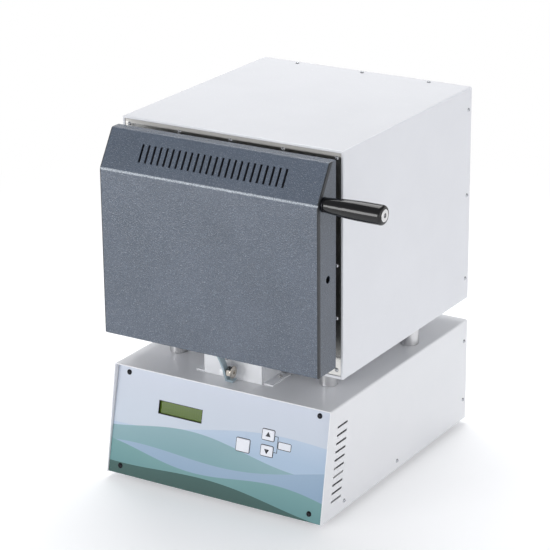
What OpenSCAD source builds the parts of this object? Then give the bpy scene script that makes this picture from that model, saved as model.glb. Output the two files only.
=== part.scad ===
// A small bench furnace with a drop-down door, standing on a control base.
// X runs to the right, Y to the back, Z up. The origin lies on the floor, midway between the feet.

/* [Base] */
// Width of the base over its cover
base_w = 334; // [322:1:360]
// Depth of the base at its foot
base_d = 407; // [390:1:440]
// Height of the base without its feet
base_h = 148.5; // [140:0.5:170]
// Lean of the cover's front edges from upright, in degrees
cover_lean = 10.2; // [7:0.1:13]
// Thickness of the painted steel sheet
sheet = 1.5; // [1:0.1:2]
// Outer radius of the bends in the sheet
bend_r = 2.5; // [2.2:0.1:4]
// Height of the tray's upturned sides
tray_lip = 22; // [16:1:30]
// Gap left round a sheet part that slides into another
fit_gap = 0.3; // [0.2:0.05:0.4]

/* [Side slots of the base] */
// Number of slots in each side
side_slots = 10; // [6:1:11]
// Length of one slot
side_slot_len = 26; // [18:1:34]
// Height of one slot
side_slot_w = 2.2; // [1.6:0.1:3]
// Distance from one slot to the next
side_slot_pitch = 10.9; // [9:0.1:11.5]
// Distance of the slots behind the cover's front edge
side_slot_inset = 22; // [16:1:30]

/* [Feet] */
// Height of a rubber foot
foot_h = 8; // [6:0.5:14]
// Diameter of a foot at the top
foot_d = 26; // [20:1:32]
// Distance of the feet from the sides of the base
foot_inset = 34; // [26:1:60]

/* [Control panel] */
// How far the panel's top edge lies behind the cover's front edge
panel_recess = 8; // [6:0.5:10]
// How far its foot lies behind that edge
panel_toe = 1; // [0.6:0.1:2]
// Thickness of the panel plate
panel_t = 2; // [1.5:0.1:3]
// Thickness of the printed film on it
film_t = 0.5; // [0.3:0.05:0.8]
// Distance of the panel screws from its ends
panel_screw_x = 18; // [15:0.5:24]
// Distance of the panel screws from its upper and lower edges
panel_screw_v = 11; // [9:0.5:14]
// Width of the display window
window_w = 68.7; // [66:0.1:74]
// Height of the display window
window_h = 18.5; // [16:0.1:22]
// Place of the window's middle to the left of the centre line
window_x = 61.4; // [56:0.1:72]
// Height of the window's middle on the panel
window_v = 103.6; // [98:0.1:112]
// Width of the enter key
enter_w = 19.7; // [16:0.1:22]
// Height of the enter key
enter_h = 16.9; // [14:0.1:19]
// Place of the enter key to the right of the centre line
enter_x = 39.3; // [34:0.1:42]
// Width of an arrow key
arrow_w = 17.6; // [15:0.1:20]
// Height of an arrow key
arrow_h = 13.6; // [12:0.1:15]
// Place of the arrow keys to the right of the centre line
arrow_x = 75.6; // [72:0.1:82]
// Height of the lower arrow key on the panel
arrow_v = 79.6; // [76:0.1:84]
// Distance between the two arrow keys
arrow_pitch = 21.2; // [19.5:0.1:24]
// How far a key stands proud of the film
key_proud = 1; // [0.8:0.1:1.6]
// Travel of a key
key_travel = 0.6; // [0.4:0.05:0.7]

/* [Standoffs] */
// Height of the gap between base and housing
standoff_h = 32; // [30:0.5:38]
// Diameter of the turned standoffs
standoff_d = 25; // [18:0.5:30]
// Distance of the front standoffs from the centre line
standoff_x = 117; // [105:1:135]
// Distance of the rear standoffs from the centre line
standoff_rear_x = 140; // [105:1:144]
// Distance of the front standoffs behind the housing's front
standoff_y = 47; // [40:1:60]
// Distance from the front to the rear standoffs
standoff_span = 180; // [160:1:210]

/* [Housing] */
// Width of the upper housing
housing_w = 330; // [324:1:350]
// Depth of the upper housing
housing_d = 350; // [345:1:380]
// Height of the upper housing
housing_h = 303; // [298:1:320]
// Distance of the housing's front behind the foot of the base
housing_setback = 60; // [55:1:66]
// Width of the folded lip round the housing's front
lip_w = 3.5; // [2.5:0.1:5]
// How far the front panel lies behind that lip
lip_depth = 1.2; // [0.8:0.1:2]
// Width of the flange that the front panel is screwed to
flange_w = 17; // [14:0.5:20]
// Thickness of the stainless front panel
front_t = 1.2; // [1:0.1:2]
// Distance of the front panel's screws from the housing's sides
front_screw_in = 10; // [9:0.5:12]
// Distance of the cover's screws from the housing's rear edge
cover_screw_in = 9; // [7:0.5:12]
// Distance between the screws of the cover's top
cover_screw_pitch = 104; // [90:1:120]

/* [Chamber] */
// Clear width of the chamber
chamber_w = 180; // [160:1:190]
// Clear height of the chamber
chamber_h = 120; // [105:1:126]
// Clear depth of the chamber
chamber_d = 220; // [200:1:235]
// Thickness of the ceramic muffle plates
muffle_t = 10; // [8:0.5:14]
// Air gap between the lining and the housing's sides
air_side = 13.5; // [8:0.5:20]
// Air gap between the lining and the housing's top
air_top = 14; // [8:0.5:24]
// Room for the wiring behind the lining
rear_room = 66.8; // [50:0.1:80]
// Thickness of the loose hearth tile
hearth_t = 6; // [4:0.5:8]
// Number of heating coils in each side plate
coils = 5; // [3:1:6]
// Diameter of a heating coil
coil_d = 5.6; // [4:0.2:7]

/* [Fume outlet] */
// Outer diameter of the outlet pipe
pipe_d = 32; // [25:1:40]
// Wall of the outlet pipe
pipe_wall = 1.5; // [1:0.1:2]
// How far the pipe stands out of the back
pipe_out = 26; // [15:1:40]
// Height of the pipe above the chamber's middle
pipe_up = 30; // [20:1:36]

/* [Door] */
// Width of the door
door_w = 325; // [300:1:330]
// Height of the door
door_h = 275; // [268:1:279]
// Thickness of the door
door_t = 44; // [42:0.5:48]
// Gap between the closed door and the housing
door_gap = 14; // [13:0.5:16]
// Height of the door's foot above the housing's foot
door_lift = 20.5; // [18:0.5:24]
// Height of the slanting top of the door
slant_h = 48; // [40:1:56]
// Depth of the slanting top of the door
slant_d = 29.5; // [24:0.5:32]
// Number of slots in the slanting top
vents = 24; // [12:1:28]
// Width of one of these slots
vent_w = 3.3; // [2.4:0.1:4.5]
// Length of one of these slots
vent_len = 24.6; // [18:0.2:30]
// Distance from one of these slots to the next
vent_pitch = 9.3; // [7.5:0.1:10.5]
// Distance of the slots below the slant's top edge
vent_drop = 16; // [12:0.5:20]
// Gap round the plug where it enters the chamber
plug_gap = 3; // [2.5:0.1:4]
// How far the plug reaches into the chamber
plug_in = 7.5; // [5:0.5:9]
// Diameter of the access hole in each side of the door
access_d = 10; // [8:0.5:12]

/* [Hinge] */
// Height of the pivot above the base
pivot_up = 16.5; // [15.8:0.1:17.5]
// Distance of the pivot in front of the bracket's face
pivot_out = 15; // [14.6:0.1:15.6]
// Distance of the bracket's face in front of the housing's front
bracket_out = 1.5; // [1:0.1:3]
// Diameter of the pivot bolt
pivot_d = 5; // [4:0.5:6]
// Diameter of the bolt's flat round head
pivot_head_d = 17; // [14:0.5:18]
// Radial clearance of the arm on the pivot bolt
running = 0.05; // [0.02:0.01:0.1]
// Width of the curved door arm
arm_w = 8.5; // [7.5:0.5:10]
// Thickness of the curved door arm
arm_t = 3; // [2.5:0.5:4]
// Radius of the arm's curve, along its middle
arm_r = 160; // [140:1:180]
// Lean of the arm at the pivot, in degrees
arm_lean = 22; // [20:1:24]
// How far the arm's middle passes in front of the pivot
arm_ahead = 2; // [1:0.5:2.5]
// How far the stop foot at the arm's end reaches to the right
foot_reach = 8.5; // [6:0.5:10]
// Width of the hinge bracket between its feet
bracket_w = 90; // [70:1:110]
// Depth of the hinge bracket
bracket_d = 48; // [40:1:60]
// Width of one of its feet
bracket_foot = 14; // [12:1:20]
// Thickness of the bracket's sheet
bracket_t = 2; // [1.5:0.1:2.5]
// Thickness of the ear that holds the pivot
ear_t = 5; // [4:0.5:6]

/* [Handle] */
// Length of the revolving grip
grip_len = 82; // [70:1:100]
// Largest diameter of the grip
grip_d = 25.5; // [22:0.5:30]
// Diameter of the grip at the door
grip_neck_d = 19; // [16:0.5:22]
// Distance of the grip's axis behind the door's face
grip_back = 14; // [13:0.5:16]
// Distance of the grip's axis below the door's top
grip_drop = 49; // [46:1:60]
// Diameter of the spindle
spindle_d = 8; // [6:0.5:10]
// Diameter of the polished head on the spindle
head_d = 16.4; // [14:0.2:18]

/* [Hidden] */
$fn = 48;

// Colours of the finishes
white = "#e9e9ee";
slate = "#5d6775";
steel = "#c3c6ca";
zinc = "#9fb0ba";
black = "#1c1c1e";
fibre = "#ece6d8";
ceramic = "#d9cfc0";
copper = "#b3733c";

// Heights of the base and the housing
base_z = foot_h;
base_top = base_z + base_h;
housing_z = base_top + standoff_h;
housing_top = housing_z + housing_h;

// Fronts and backs
base_front = -base_d / 2;
base_back = base_d / 2;
housing_front = base_front + housing_setback;
housing_back = housing_front + housing_d;

// Places of the electric parts in the base
bay_y = base_back - 133.5;
strip_y = base_back - 53.5;

// The leaning control panel
cover_run = base_h * tan(cover_lean);
panel_foot_y = base_front + panel_toe;
panel_run = cover_run + panel_recess - panel_toe;
panel_lean = atan(panel_run / base_h);
panel_lift = 0.6;
panel_len = (base_h - sheet - 2 * fit_gap) / cos(panel_lean);
panel_w = base_w - 2 * sheet - 2 * fit_gap;
panel_back = film_t + panel_t;
screw_x = panel_w / 2 - panel_screw_x;
screw_vs = [panel_lift + panel_screw_v, panel_len - panel_screw_v + 1.5];
arrow_v2 = arrow_v + arrow_pitch;
key_flange = 1.8;
key_stem_d = 6;
key_r = 1.6;
board_z = -13;
board_t = 1.6;

// The chamber and the insulation round it
chamber_z = housing_z + housing_h / 2;
muffle_w = chamber_w + 2 * muffle_t;
muffle_h = chamber_h + 2 * muffle_t;
panel_y = housing_front + lip_depth;
flange_y = panel_y + front_t;
mouth_y = panel_y;
chamber_end = mouth_y + chamber_d;
lining_gap = 4;
lining_y = flange_y + sheet + lining_gap;
lining_end = housing_back - rear_room;
lining_w = housing_w - 2 * sheet - 2 * air_side;
lining_top = housing_top - sheet - air_top;
floor_top = housing_z + sheet;
muffle_z0 = chamber_z - muffle_h / 2;
muffle_z1 = chamber_z + muffle_h / 2;
coil_pitch = (chamber_h - 20) / coils;
coil_sink = 2;
groove_d = coil_d + 1.2;
coil_y0 = mouth_y + 24;
coil_y1 = chamber_end - 8;
pipe_z = chamber_z + pipe_up;
probe_d = 6;
probe_x = chamber_w / 4 + 6;
probe_z = chamber_z + chamber_h / 2 - 18;
probe_in = 24;

// The door and its hinge
plug_w = chamber_w - 2 * plug_gap;
plug_h = chamber_h - 2 * plug_gap;
door_back = housing_front - door_gap;
door_front = door_back - door_t;
door_z = housing_z + door_lift;
door_top = door_z + door_h;
slant_z = door_top - slant_h;
slant_y = door_front + slant_d;
slant_len = sqrt(slant_h * slant_h + slant_d * slant_d);
slant_angle = atan(slant_d / slant_h);
bracket_y = housing_front - bracket_out;
pivot_y = bracket_y - pivot_out;
pivot_z = base_top + pivot_up;
arm_cy = pivot_y - arm_ahead - arm_r * cos(arm_lean);
arm_cz = pivot_z - arm_r * sin(arm_lean);
arm_end = asin((door_z - arm_cz) / arm_r);
arm_tail = arm_lean - 8;
arm_bar_y = arm_cy + arm_r * cos(arm_end);
arm_turn = acos((arm_bar_y - arm_w / 2 - arm_cy) / (arm_r - arm_w / 2));
arm_bar_top = door_z + 40;
stop_r = min(pivot_out, pivot_up) - 0.4;
stop_z = pivot_z - stop_r + 0.1;
stop_y = arm_cy + sqrt(pow(arm_r - arm_w / 2, 2) - pow(stop_z - arm_cz, 2));
stop_t = 3;
eye_r = 6;
ear_x = arm_t / 2 + 0.4;
ear_r = 7;
back_plate_t = 1.2;
back_plate_y = door_back - 2;
block_gap = 7;
block_over = 30;
carrier_t = 2.5;
arm_screw_d = 4;
arm_screw_zs = [door_z + 16, door_z + 31];

// The handle
grip_y = door_front + grip_back;
grip_z = door_top - grip_drop;
collar_t = 3;
grip_x = door_w / 2 + collar_t + fit_gap;
head_sink = 1;
head_t = 2.2;

// Fastener sizes: shank diameter, head diameter, head height
m3 = [3, 5.6, 2];
m4 = [4, 7.6, 2.2];
m5 = [5, 9.5, 3];
m8_nut = [13, 6.5];
hole_gap = 0.1;

// Points of an outline with each corner rounded to radius r, by arcs of n steps
function unit(v) = v / norm(v);
function turn(a) = a > 180 ? a - 360 : a < -180 ? a + 360 : a;
function rounded(p, r, n = 4) = [for (i = [0:len(p) - 1])
    let (a = unit(p[(i + len(p) - 1) % len(p)] - p[i]), b = unit(p[(i + 1) % len(p)] - p[i]))
    let (half = acos(a * b) / 2, c = p[i] + unit(a + b) * r / sin(half))
    let (f = p[i] + a * r / tan(half) - c, g = p[i] + b * r / tan(half) - c)
    let (f0 = atan2(f[1], f[0]), sweep = turn(atan2(g[1], g[0]) - f0))
    for (k = [0:n]) c + r * [cos(f0 + sweep * k / n), sin(f0 + sweep * k / n)]];

// Box between two opposite corners
module span(a, b) translate(a) cube(b - a);

// Outline in the YZ plane, drawn out along X from x0 to x1
module along_x(x0, x1) translate([x0, 0, 0]) rotate([90, 0, 90]) linear_extrude(x1 - x0) children();

// Outline in the XZ plane, drawn out along Y from y0 to y1
module along_y(y0, y1) translate([0, y1, 0]) rotate([90, 0, 0]) linear_extrude(y1 - y0) children();

// Cylinder along X or Y, from its start
module rod_x(d, l) rotate([0, 90, 0]) cylinder(d = d, h = l);
module rod_y(d, l) rotate([-90, 0, 0]) cylinder(d = d, h = l);

// Places on the leaning panel: X right, Y up along the panel, Z out of its face
module on_panel() translate([0, panel_foot_y, base_z]) rotate([90 - panel_lean, 0, 0]) children();

// Flat plate with rounded corners, from the origin's middle upwards
module plate(w, h, t, r) {
    linear_extrude(t) {
        square([w - 2 * r, h], center = true);
        square([w, h - 2 * r], center = true);
        for (x = [-1, 1], y = [-1, 1]) translate([x * (w / 2 - r), y * (h / 2 - r)]) circle(r);
    }
}

// Screw with a domed head on the plane z = 0 and its shank below
module dome_screw(m, len, socket) {
    dome_r = (m[1] * m[1] / 4 + m[2] * m[2]) / (2 * m[2]);
    translate([0, 0, -len]) cylinder(d = m[0], h = len + 0.1);
    difference() {
        intersection() {
            cylinder(d = m[1], h = m[2]);
            translate([0, 0, m[2] - dome_r]) sphere(dome_r, $fn = 64);
        }
        if (socket) translate([0, 0, m[2] * 0.4]) cylinder(d = m[0] * 0.7, h = m[2], $fn = 6);
        else for (a = [0, 90]) rotate(a) translate([-m[1] * 0.28, -0.35, m[2] * 0.55]) cube([m[1] * 0.56, 0.7, m[2]]);
    }
}

// Side outline of the base between its cover's front edge and its back
module base_side() polygon([[base_front - 1, base_z - 1], [base_front - tan(cover_lean), base_z - 1],
    [base_front + cover_run + tan(cover_lean), base_top + 1], [base_back + 1, base_top + 1], [base_back + 1, base_z - 1]]);

// Inverted U of sheet in the XZ plane, with bent corners
module cover_outline(w, z0, z1, t, r) {
    difference() {
        polygon(concat([[-w / 2, z0]], rounded_top(w, z1, r), [[w / 2, z0]]));
        polygon(concat([[-w / 2 + t, z0 - 1]], rounded_top(w - 2 * t, z1 - t, r - t), [[w / 2 - t, z0 - 1]]));
    }
}

// Pan folded from sheet, open to the front, which fits inside such a cover
module rear_pan(w, z0, z1, y) difference() {
    along_y(y - 16, y) polygon(concat([[-w / 2, z0]], rounded_top(w, z1, bend_r - sheet), [[w / 2, z0]]));
    span([-w / 2 + sheet, y - 17, z0 + sheet], [w / 2 - sheet, y - sheet, z1 - sheet]);
}
function rounded_top(w, z, r) = concat(
    [for (a = [180:-15:90]) [-w / 2 + r + r * cos(a), z - r + r * sin(a)]],
    [for (a = [90:-15:0]) [w / 2 - r + r * cos(a), z - r + r * sin(a)]]);

// Places of repeated things
module at_feet() for (x = [-1, 1], y = [-1, 1])
    translate([x * (base_w / 2 - foot_inset), y * (base_d / 2 - foot_inset - 6), 0]) children();
module at_standoffs() for (s = [-1, 1], y = [0, 1])
    translate([s * (y * standoff_rear_x + (1 - y) * standoff_x), housing_front + standoff_y + y * standoff_span, 0])
        children();
module at_panel_screws() for (x = [-1, 1], v = screw_vs) translate([x * screw_x, v, 0]) children();
module at_bracket_screws() for (x = [-1, 1])
    translate([x * (bracket_w / 2 + bracket_foot / 2), bracket_y + bracket_d * 0.7, base_top]) children();
front_cx = housing_w / 2 - front_screw_in;
front_z0 = housing_z + front_screw_in + 1.5;
front_z1 = housing_top - front_screw_in;
module at_front_screws() {
    for (i = [-2:2], z = [front_z0, front_z1]) translate([i * front_cx / 2, panel_y, z]) children();
    for (x = [-1, 1], k = [1:3]) translate([x * front_cx, panel_y, front_z0 + (front_z1 - front_z0) * k / 4]) children();
}
side_screw_zs = [for (k = [-1:1]) housing_z + housing_h / 2 + k * 121];
module at_cover_screws() {
    for (i = [-1:1]) translate([i * cover_screw_pitch, housing_back - cover_screw_in, housing_top]) children();
    for (s = [-1, 1], z = side_screw_zs)
        translate([s * housing_w / 2, housing_back - cover_screw_in, z]) rotate([0, s * 90, 0]) children();
}
module at_base_screws() {
    for (s = [-1, 1], z = [base_z + 30, base_top - 30])
        translate([s * base_w / 2, base_back - cover_screw_in, z]) rotate([0, s * 90, 0]) children();
    for (s = [-1, 1], y = [base_front + 60, 0])
        translate([s * base_w / 2, y, base_z + tray_lip / 2 + 1]) rotate([0, s * 90, 0]) children();
}

// Rubber feet, turned in to a smaller sole, with a well for the screw
module feet() color(black) at_feet() difference() {
    cylinder(d1 = foot_d - 4, d2 = foot_d, h = foot_h, $fn = 64);
    translate([0, 0, -1]) cylinder(d = m4[1] + 2, h = foot_h - 2);
    cylinder(d = m4[0] + 2 * hole_gap, h = foot_h + 1);
}
module foot_screws() color(steel) at_feet() translate([0, 0, foot_h - 3]) mirror([0, 0, 1])
    dome_screw(m4, foot_h + sheet, false);

// Tray of the base: floor with upturned sides, louvre slots and holes for the feet
module base_tray() color(white) difference() {
    tray_w = base_w - 2 * sheet;
    front = panel_foot_y + panel_back + 1;
    union() {
        span([-tray_w / 2, front, base_z], [tray_w / 2, base_back, base_z + sheet]);
        for (s = [0, 1]) mirror([s, 0, 0])
            span([tray_w / 2 - sheet, front + 12, base_z], [tray_w / 2, rear_y - 16, base_z + tray_lip]);
    }
    at_feet() translate([0, 0, base_z - 1]) cylinder(d = m4[0] + 2 * hole_gap, h = 4);
    for (x = [-9:9], y = [-60, 60]) translate([x * 12 - 2, y - 22, base_z - 1]) cube([4, 44, 4]);
    at_base_screws() translate([0, 0, -6]) cylinder(d = m3[0] + 2 * hole_gap, h = 8);
}

// Cover of the base: one folded sheet, top and two sides, with slots in the sides
module base_cover() color(white) difference() {
    intersection() {
        along_y(base_front - 1, base_back) cover_outline(base_w, base_z, base_top, sheet, bend_r);
        along_x(-base_w, base_w) base_side();
    }
    for (k = [0:side_slots - 1], s = [-1, 1]) {
        z = base_top - 27.8 - k * side_slot_pitch;
        y = base_front + (z - base_z) * tan(cover_lean) + side_slot_inset;
        translate([s * base_w / 2 - 3, y, z - side_slot_w / 2]) cube([6, side_slot_len, side_slot_w]);
    }
    at_standoffs() translate([0, 0, base_top - 4]) cylinder(d = m5[0] + 2 * hole_gap, h = 6);
    at_bracket_screws() translate([0, 0, -4]) cylinder(d = m4[0] + 2 * hole_gap, h = 6);
    translate([0, duct_y, base_top - 4]) cylinder(d = duct_d - 4, h = 6);
    at_base_screws() translate([0, 0, -4]) cylinder(d = m3[0] + 2 * hole_gap, h = 6);
}

// Rear panel of the base: folded plate with places for the inlet and the switch
inlet_x = 98;
inlet_z = base_z + 46;
inlet_w = 27.6;
inlet_h = 20.2;
switch_x = 44;
switch_w = 19.4;
switch_h = 27.4;
rear_y = base_back - 3.5;
module base_rear_panel() color(white) difference() {
    rear_pan(base_w - 2 * sheet, base_z + sheet, base_top - sheet, rear_y + sheet);
    span([inlet_x - inlet_w / 2, rear_y - 1, inlet_z - inlet_h / 2],
        [inlet_x + inlet_w / 2, rear_y + 3, inlet_z + inlet_h / 2]);
    span([switch_x - switch_w / 2, rear_y - 1, inlet_z - switch_h / 2],
        [switch_x + switch_w / 2, rear_y + 3, inlet_z + switch_h / 2]);
    for (k = [-12:-2], z = [0, 1]) translate([k * 11, rear_y - 1, base_z + 36 + z * 48]) cube([4, 5, 34]);
    for (s = [-1, 1]) translate([inlet_x + s * 20, rear_y - 1, inlet_z]) rod_y(m3[0] + 2 * hole_gap, 4);
    at_base_screws() translate([0, 0, -8]) cylinder(d = m3[0] + 2 * hole_gap, h = 10);
}
module base_screws() color(steel) {
    at_base_screws() dome_screw(m3, 6, false);
    for (s = [-1, 1]) translate([inlet_x + s * 20, rear_y + sheet + 3, inlet_z]) rotate([-90, 0, 0]) dome_screw(m3, 8, false);
}

// Angle rails that the panel's screws go into, leaning with the panel
module panel_rails() color(steel) intersection() {
    on_panel() for (s = [0, 1]) mirror([s, 0, 0]) difference() {
        union() {
            span([screw_x - 8, -20, -panel_back - sheet], [screw_x + 8, panel_len + 20, -panel_back]);
            span([screw_x + 8 - sheet, -20, -panel_back - 14], [screw_x + 8, panel_len + 20, -panel_back]);
        }
        for (v = screw_vs) translate([screw_x, v, -panel_back - 3]) cylinder(d = m4[0] + 2 * hole_gap, h = 4);
    }
    span([-base_w, base_front, base_z + sheet], [base_w, 0, base_top - sheet]);
}

// Windows of the panel: display, three keys, four screws
module panel_cuts(depth) {
    translate([-window_x, window_v, -depth]) linear_extrude(depth + 1) square([window_w, window_h], center = true);
    for (k = key_places()) translate([k[0], k[1], -depth]) plate(k[2] + 2 * fit_gap, k[3] + 2 * fit_gap, depth + 1, key_r);
    at_panel_screws() translate([0, 0, -depth]) cylinder(d = m4[0] + 2 * hole_gap, h = depth + 1);
}
function key_places() = [[enter_x, arrow_v, enter_w, enter_h], [arrow_x, arrow_v2, arrow_w, arrow_h],
    [arrow_x, arrow_v, arrow_w, arrow_h]];
module panel_plate() color(white) on_panel() difference() {
    span([-panel_w / 2, panel_lift, -panel_back], [panel_w / 2, panel_len, -film_t]);
    panel_cuts(panel_back + 1);
}
module panel_film() color("#c9d2de") on_panel() difference() {
    span([-panel_w / 2 + 0.3, panel_lift + 0.3, -film_t], [panel_w / 2 - 0.3, panel_len - 0.3, 0]);
    panel_cuts(film_t + 1);
}
module panel_screws() color(black) on_panel() at_panel_screws() dome_screw(m4, panel_back + 5, true);

// Key: cap through the panel, flange that keeps it in, stem to its switch
module key(place) on_panel() translate([place[0], place[1], 0]) {
    translate([0, 0, -panel_back - 0.1]) plate(place[2], place[3], panel_back + 0.1 + key_proud, key_r - fit_gap);
    translate([0, 0, -panel_back - 1.1]) plate(place[2] + 2 * key_flange, place[3] + 2 * key_flange, 1, key_r);
    translate([0, 0, switch_tip + key_travel + 0.1]) cylinder(d = key_stem_d, h = -switch_tip - key_travel - panel_back - 1);
}
switch_tip = -7.1;
module key_enter() color("white") key(key_places()[0]);
module key_up() color("white") key(key_places()[1]);
module key_down() color("white") key(key_places()[2]);

// Board behind the panel, with a small switch behind each key, and its spacers
board_x0 = -120;
board_x1 = 120;
board_v0 = 58;
board_v1 = 128;
module at_board_corners() for (x = [board_x0 + 6, board_x1 - 6], v = [board_v0 + 6, board_v1 - 6])
    translate([x, v, 0]) children();
module control_board() color("#2f6b45") on_panel() {
    difference() {
        span([board_x0, board_v0, board_z - board_t], [board_x1, board_v1, board_z]);
        at_board_corners() translate([0, 0, board_z - 3]) cylinder(d = 3.2, h = 5);
    }
    for (k = key_places()) translate([k[0], k[1], board_z]) {
        translate([-3, -3, 0]) cube([6, 6, 3.5]);
        cylinder(d = 3.5, h = switch_tip - board_z);
    }
    for (x = [-88, -52], v = [66]) translate([x, v, board_z - board_t - 3]) cube([24, 8, 3]);
}
module board_spacers() color(steel) on_panel() at_board_corners()
    translate([0, 0, board_z]) cylinder(d = 6, h = -board_z - panel_back);

// Character display: board, blackened frame and the glass that the window shows
display_z = -panel_back - 0.1;
module display_module() color(black) on_panel() translate([-window_x, window_v, 0]) difference() {
    union() {
        span([-40, -18, board_z + 3.4], [40, 18, board_z + 5]);
        span([-35.8, -12.6, board_z + 5], [35.8, 12.6, display_z]);
        span([-34, 14, board_z], [8, 16.5, board_z + 3.4]);
    }
    span([-window_w / 2 - 0.3, -window_h / 2 - 0.3, display_z - 1.2], [window_w / 2 + 0.3, window_h / 2 + 0.3, 0]);
}
module display_glass() color("#9aa83c") on_panel() translate([-window_x, window_v, display_z - 1.2])
    span([-window_w / 2, -window_h / 2, 0], [window_w / 2, window_h / 2, 0.8]);

// Mains transformer: laminated core, wound bobbin and clamp
module transformer() color("#5b4636") translate([-95, bay_y, base_z + sheet]) {
    difference() {
        span([-38, -16, 2], [38, 16, 62]);
        for (s = [-1, 1]) translate([s * 19, 0, 33]) cube([13, 40, 38], center = true);
    }
    translate([0, 0, 33]) cube([49, 56, 36.6], center = true);
    span([-48, -14, 0], [48, 14, 3]);
}

// Relay that switches the heating, on its finned heat sink
module relay_heatsink() color(steel) translate([60, bay_y, base_z + sheet]) {
    span([-40, -45, 0], [-36, 45, 70]);
    for (k = [0:7]) span([-36, -45 + k * 12.2, 0], [-12, -43 + k * 12.2, 70]);
}
module solid_state_relay() color("#e7e2d5") translate([20, bay_y, base_z + sheet]) {
    span([-23, -22.5, 8], [0, 22.5, 66]);
    for (y = [-14, 6], z = [12, 54]) span([-25, y, z], [-23, y + 8, z + 8]);
}
module terminal_strip() color("#dcdcd6") translate([0, strip_y, base_z + sheet]) {
    span([-48, -9, 0], [48, 9, 6]);
    for (k = [0:7]) difference() {
        span([-47 + k * 12, -8, 6], [-37 + k * 12, 8, 18]);
        translate([-42 + k * 12, 0, 10]) cylinder(d = 5, h = 10);
    }
}

// Appliance inlet with its three blades, set in the rear panel
socket_depth = 17;
module inlet_outline(w, h, c) polygon([[-w / 2, -h / 2], [w / 2, -h / 2], [w / 2, h / 2 - c],
    [w / 2 - c, h / 2], [-w / 2 + c, h / 2], [-w / 2, h / 2 - c]]);
module mains_inlet() color(black) translate([inlet_x, rear_y + sheet, inlet_z]) difference() {
    union() {
        span([-24.5, 0, -12], [24.5, 3, 12]);
        span([-inlet_w / 2 + 0.2, -21, -inlet_h / 2 + 0.2], [inlet_w / 2 - 0.2, 0, inlet_h / 2 - 0.2]);
    }
    along_y(3 - socket_depth, 4) inlet_outline(24.2, 16.6, 4.5);
    for (s = [-1, 1]) translate([s * 20, -1, 0]) rod_y(m3[0] + 2 * hole_gap, 6);
}
module inlet_pins() color(steel) translate([inlet_x, rear_y + sheet + 3 - socket_depth, inlet_z])
    for (p = [[-7, 2.5], [7, 2.5], [0, -3.2]]) translate([p[0] - 1, 0, p[1] - 2]) cube([2, 11.5, 4]);

// Rocker switch: frame clipped in the panel, rocker on two small trunnions
rocker_tilt = 10;
rocker_y = rear_y + sheet - 1;
module switch_frame() color(black) translate([switch_x, rear_y + sheet, inlet_z]) difference() {
    union() {
        span([-11.5, 0, -16], [11.5, 2, 16]);
        span([-switch_w / 2 + 0.2, -19, -switch_h / 2 + 0.2], [switch_w / 2 - 0.2, 0, switch_h / 2 - 0.2]);
    }
    span([-7.2, -12, -12.6], [7.2, 3, 12.6]);
    translate([-9, -1, 0]) rod_x(3 + 2 * running, 18);
}
module switch_rocker() color("#2a2a2c") translate([0, rocker_y, inlet_z]) rotate([rocker_tilt, 0, 0]) {
    along_x(switch_x - 6.8, switch_x + 6.8) polygon(rounded([[-5, -6], [4.6, -11.2], [5.4, -11.2], [3.4, 0],
        [5.4, 11.2], [4.6, 11.2], [-5, 6]], 0.3, 2));
    translate([switch_x - 8.4, 0, 0]) rod_x(3, 16.8);
}

// Turned standoffs with a bore for their bolts
module standoffs() color(steel) at_standoffs() translate([0, 0, base_top]) rotate_extrude($fn = 96)
    polygon([[m5[0] / 2 + hole_gap, 0], [standoff_d / 2 - 1, 0], [standoff_d / 2, 1], [standoff_d / 2, standoff_h - 1],
        [standoff_d / 2 - 1, standoff_h], [m5[0] / 2 + hole_gap, standoff_h]]);
module standoff_bolts() color(steel) at_standoffs() {
    translate([0, 0, base_top - sheet - 4]) cylinder(d = 9.2, h = 4, $fn = 6);
    translate([0, 0, base_top - sheet - 0.1]) cylinder(d = m5[0], h = standoff_h + 2 * sheet + 8);
    translate([0, 0, floor_top]) cylinder(d = 9.2, h = 4.5, $fn = 6);
}

// Duct that leads the wires from the base up to the housing
duct_d = 30;
duct_y = housing_back - 42.5;
module wiring_duct() color(steel) translate([0, duct_y, base_top]) difference() {
    union() {
        cylinder(d = duct_d, h = standoff_h);
        cylinder(d = duct_d + 14, h = 1.5);
    }
    translate([0, 0, -1]) cylinder(d = duct_d - 4, h = standoff_h + 2);
}

// Hinge bracket: hat-shaped channel with a folded front and an ear for the pivot
function touch(p, r, s) = let (a = atan2(p[1], p[0]) + s * acos(r / norm(p))) [r * cos(a), r * sin(a)];
module ear_outline() translate([pivot_y, pivot_z]) {
    circle(ear_r, $fn = 72);
    top = standoff_h - pivot_up - bracket_t;
    heel = [pivot_out - 0.8, 5];
    polygon([touch([3, top], ear_r, 1), [3, top], [pivot_out + 0.5, top], [pivot_out + 0.5, heel[1]], heel,
        touch(heel, ear_r, -1)]);
}
module hinge_bracket() color(white) difference() {
    union() {
        span([-bracket_w / 2, bracket_y, housing_z - bracket_t], [bracket_w / 2, bracket_y + bracket_d, housing_z]);
        for (s = [0, 1]) mirror([s, 0, 0]) {
            span([bracket_w / 2 - bracket_t, bracket_y + 3, base_top],
                [bracket_w / 2, bracket_y + bracket_d, housing_z - bracket_t]);
            span([bracket_w / 2 - bracket_t, bracket_y + 3, base_top],
                [bracket_w / 2 + bracket_foot, bracket_y + bracket_d, base_top + bracket_t]);
        }
        along_x(-ear_x - ear_t, -ear_x) ear_outline();
        span([-bracket_w / 2 + 0.5, bracket_y, base_top + 0.3],
            [bracket_w / 2 - 0.5, bracket_y + bracket_t, housing_z - bracket_t]);
    }
    at_bracket_screws() cylinder(d = m4[0] + 2 * hole_gap, h = bracket_t + 1);
    translate([-20, pivot_y, pivot_z]) rod_x(pivot_d + 2 * running, 40);
}
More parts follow.
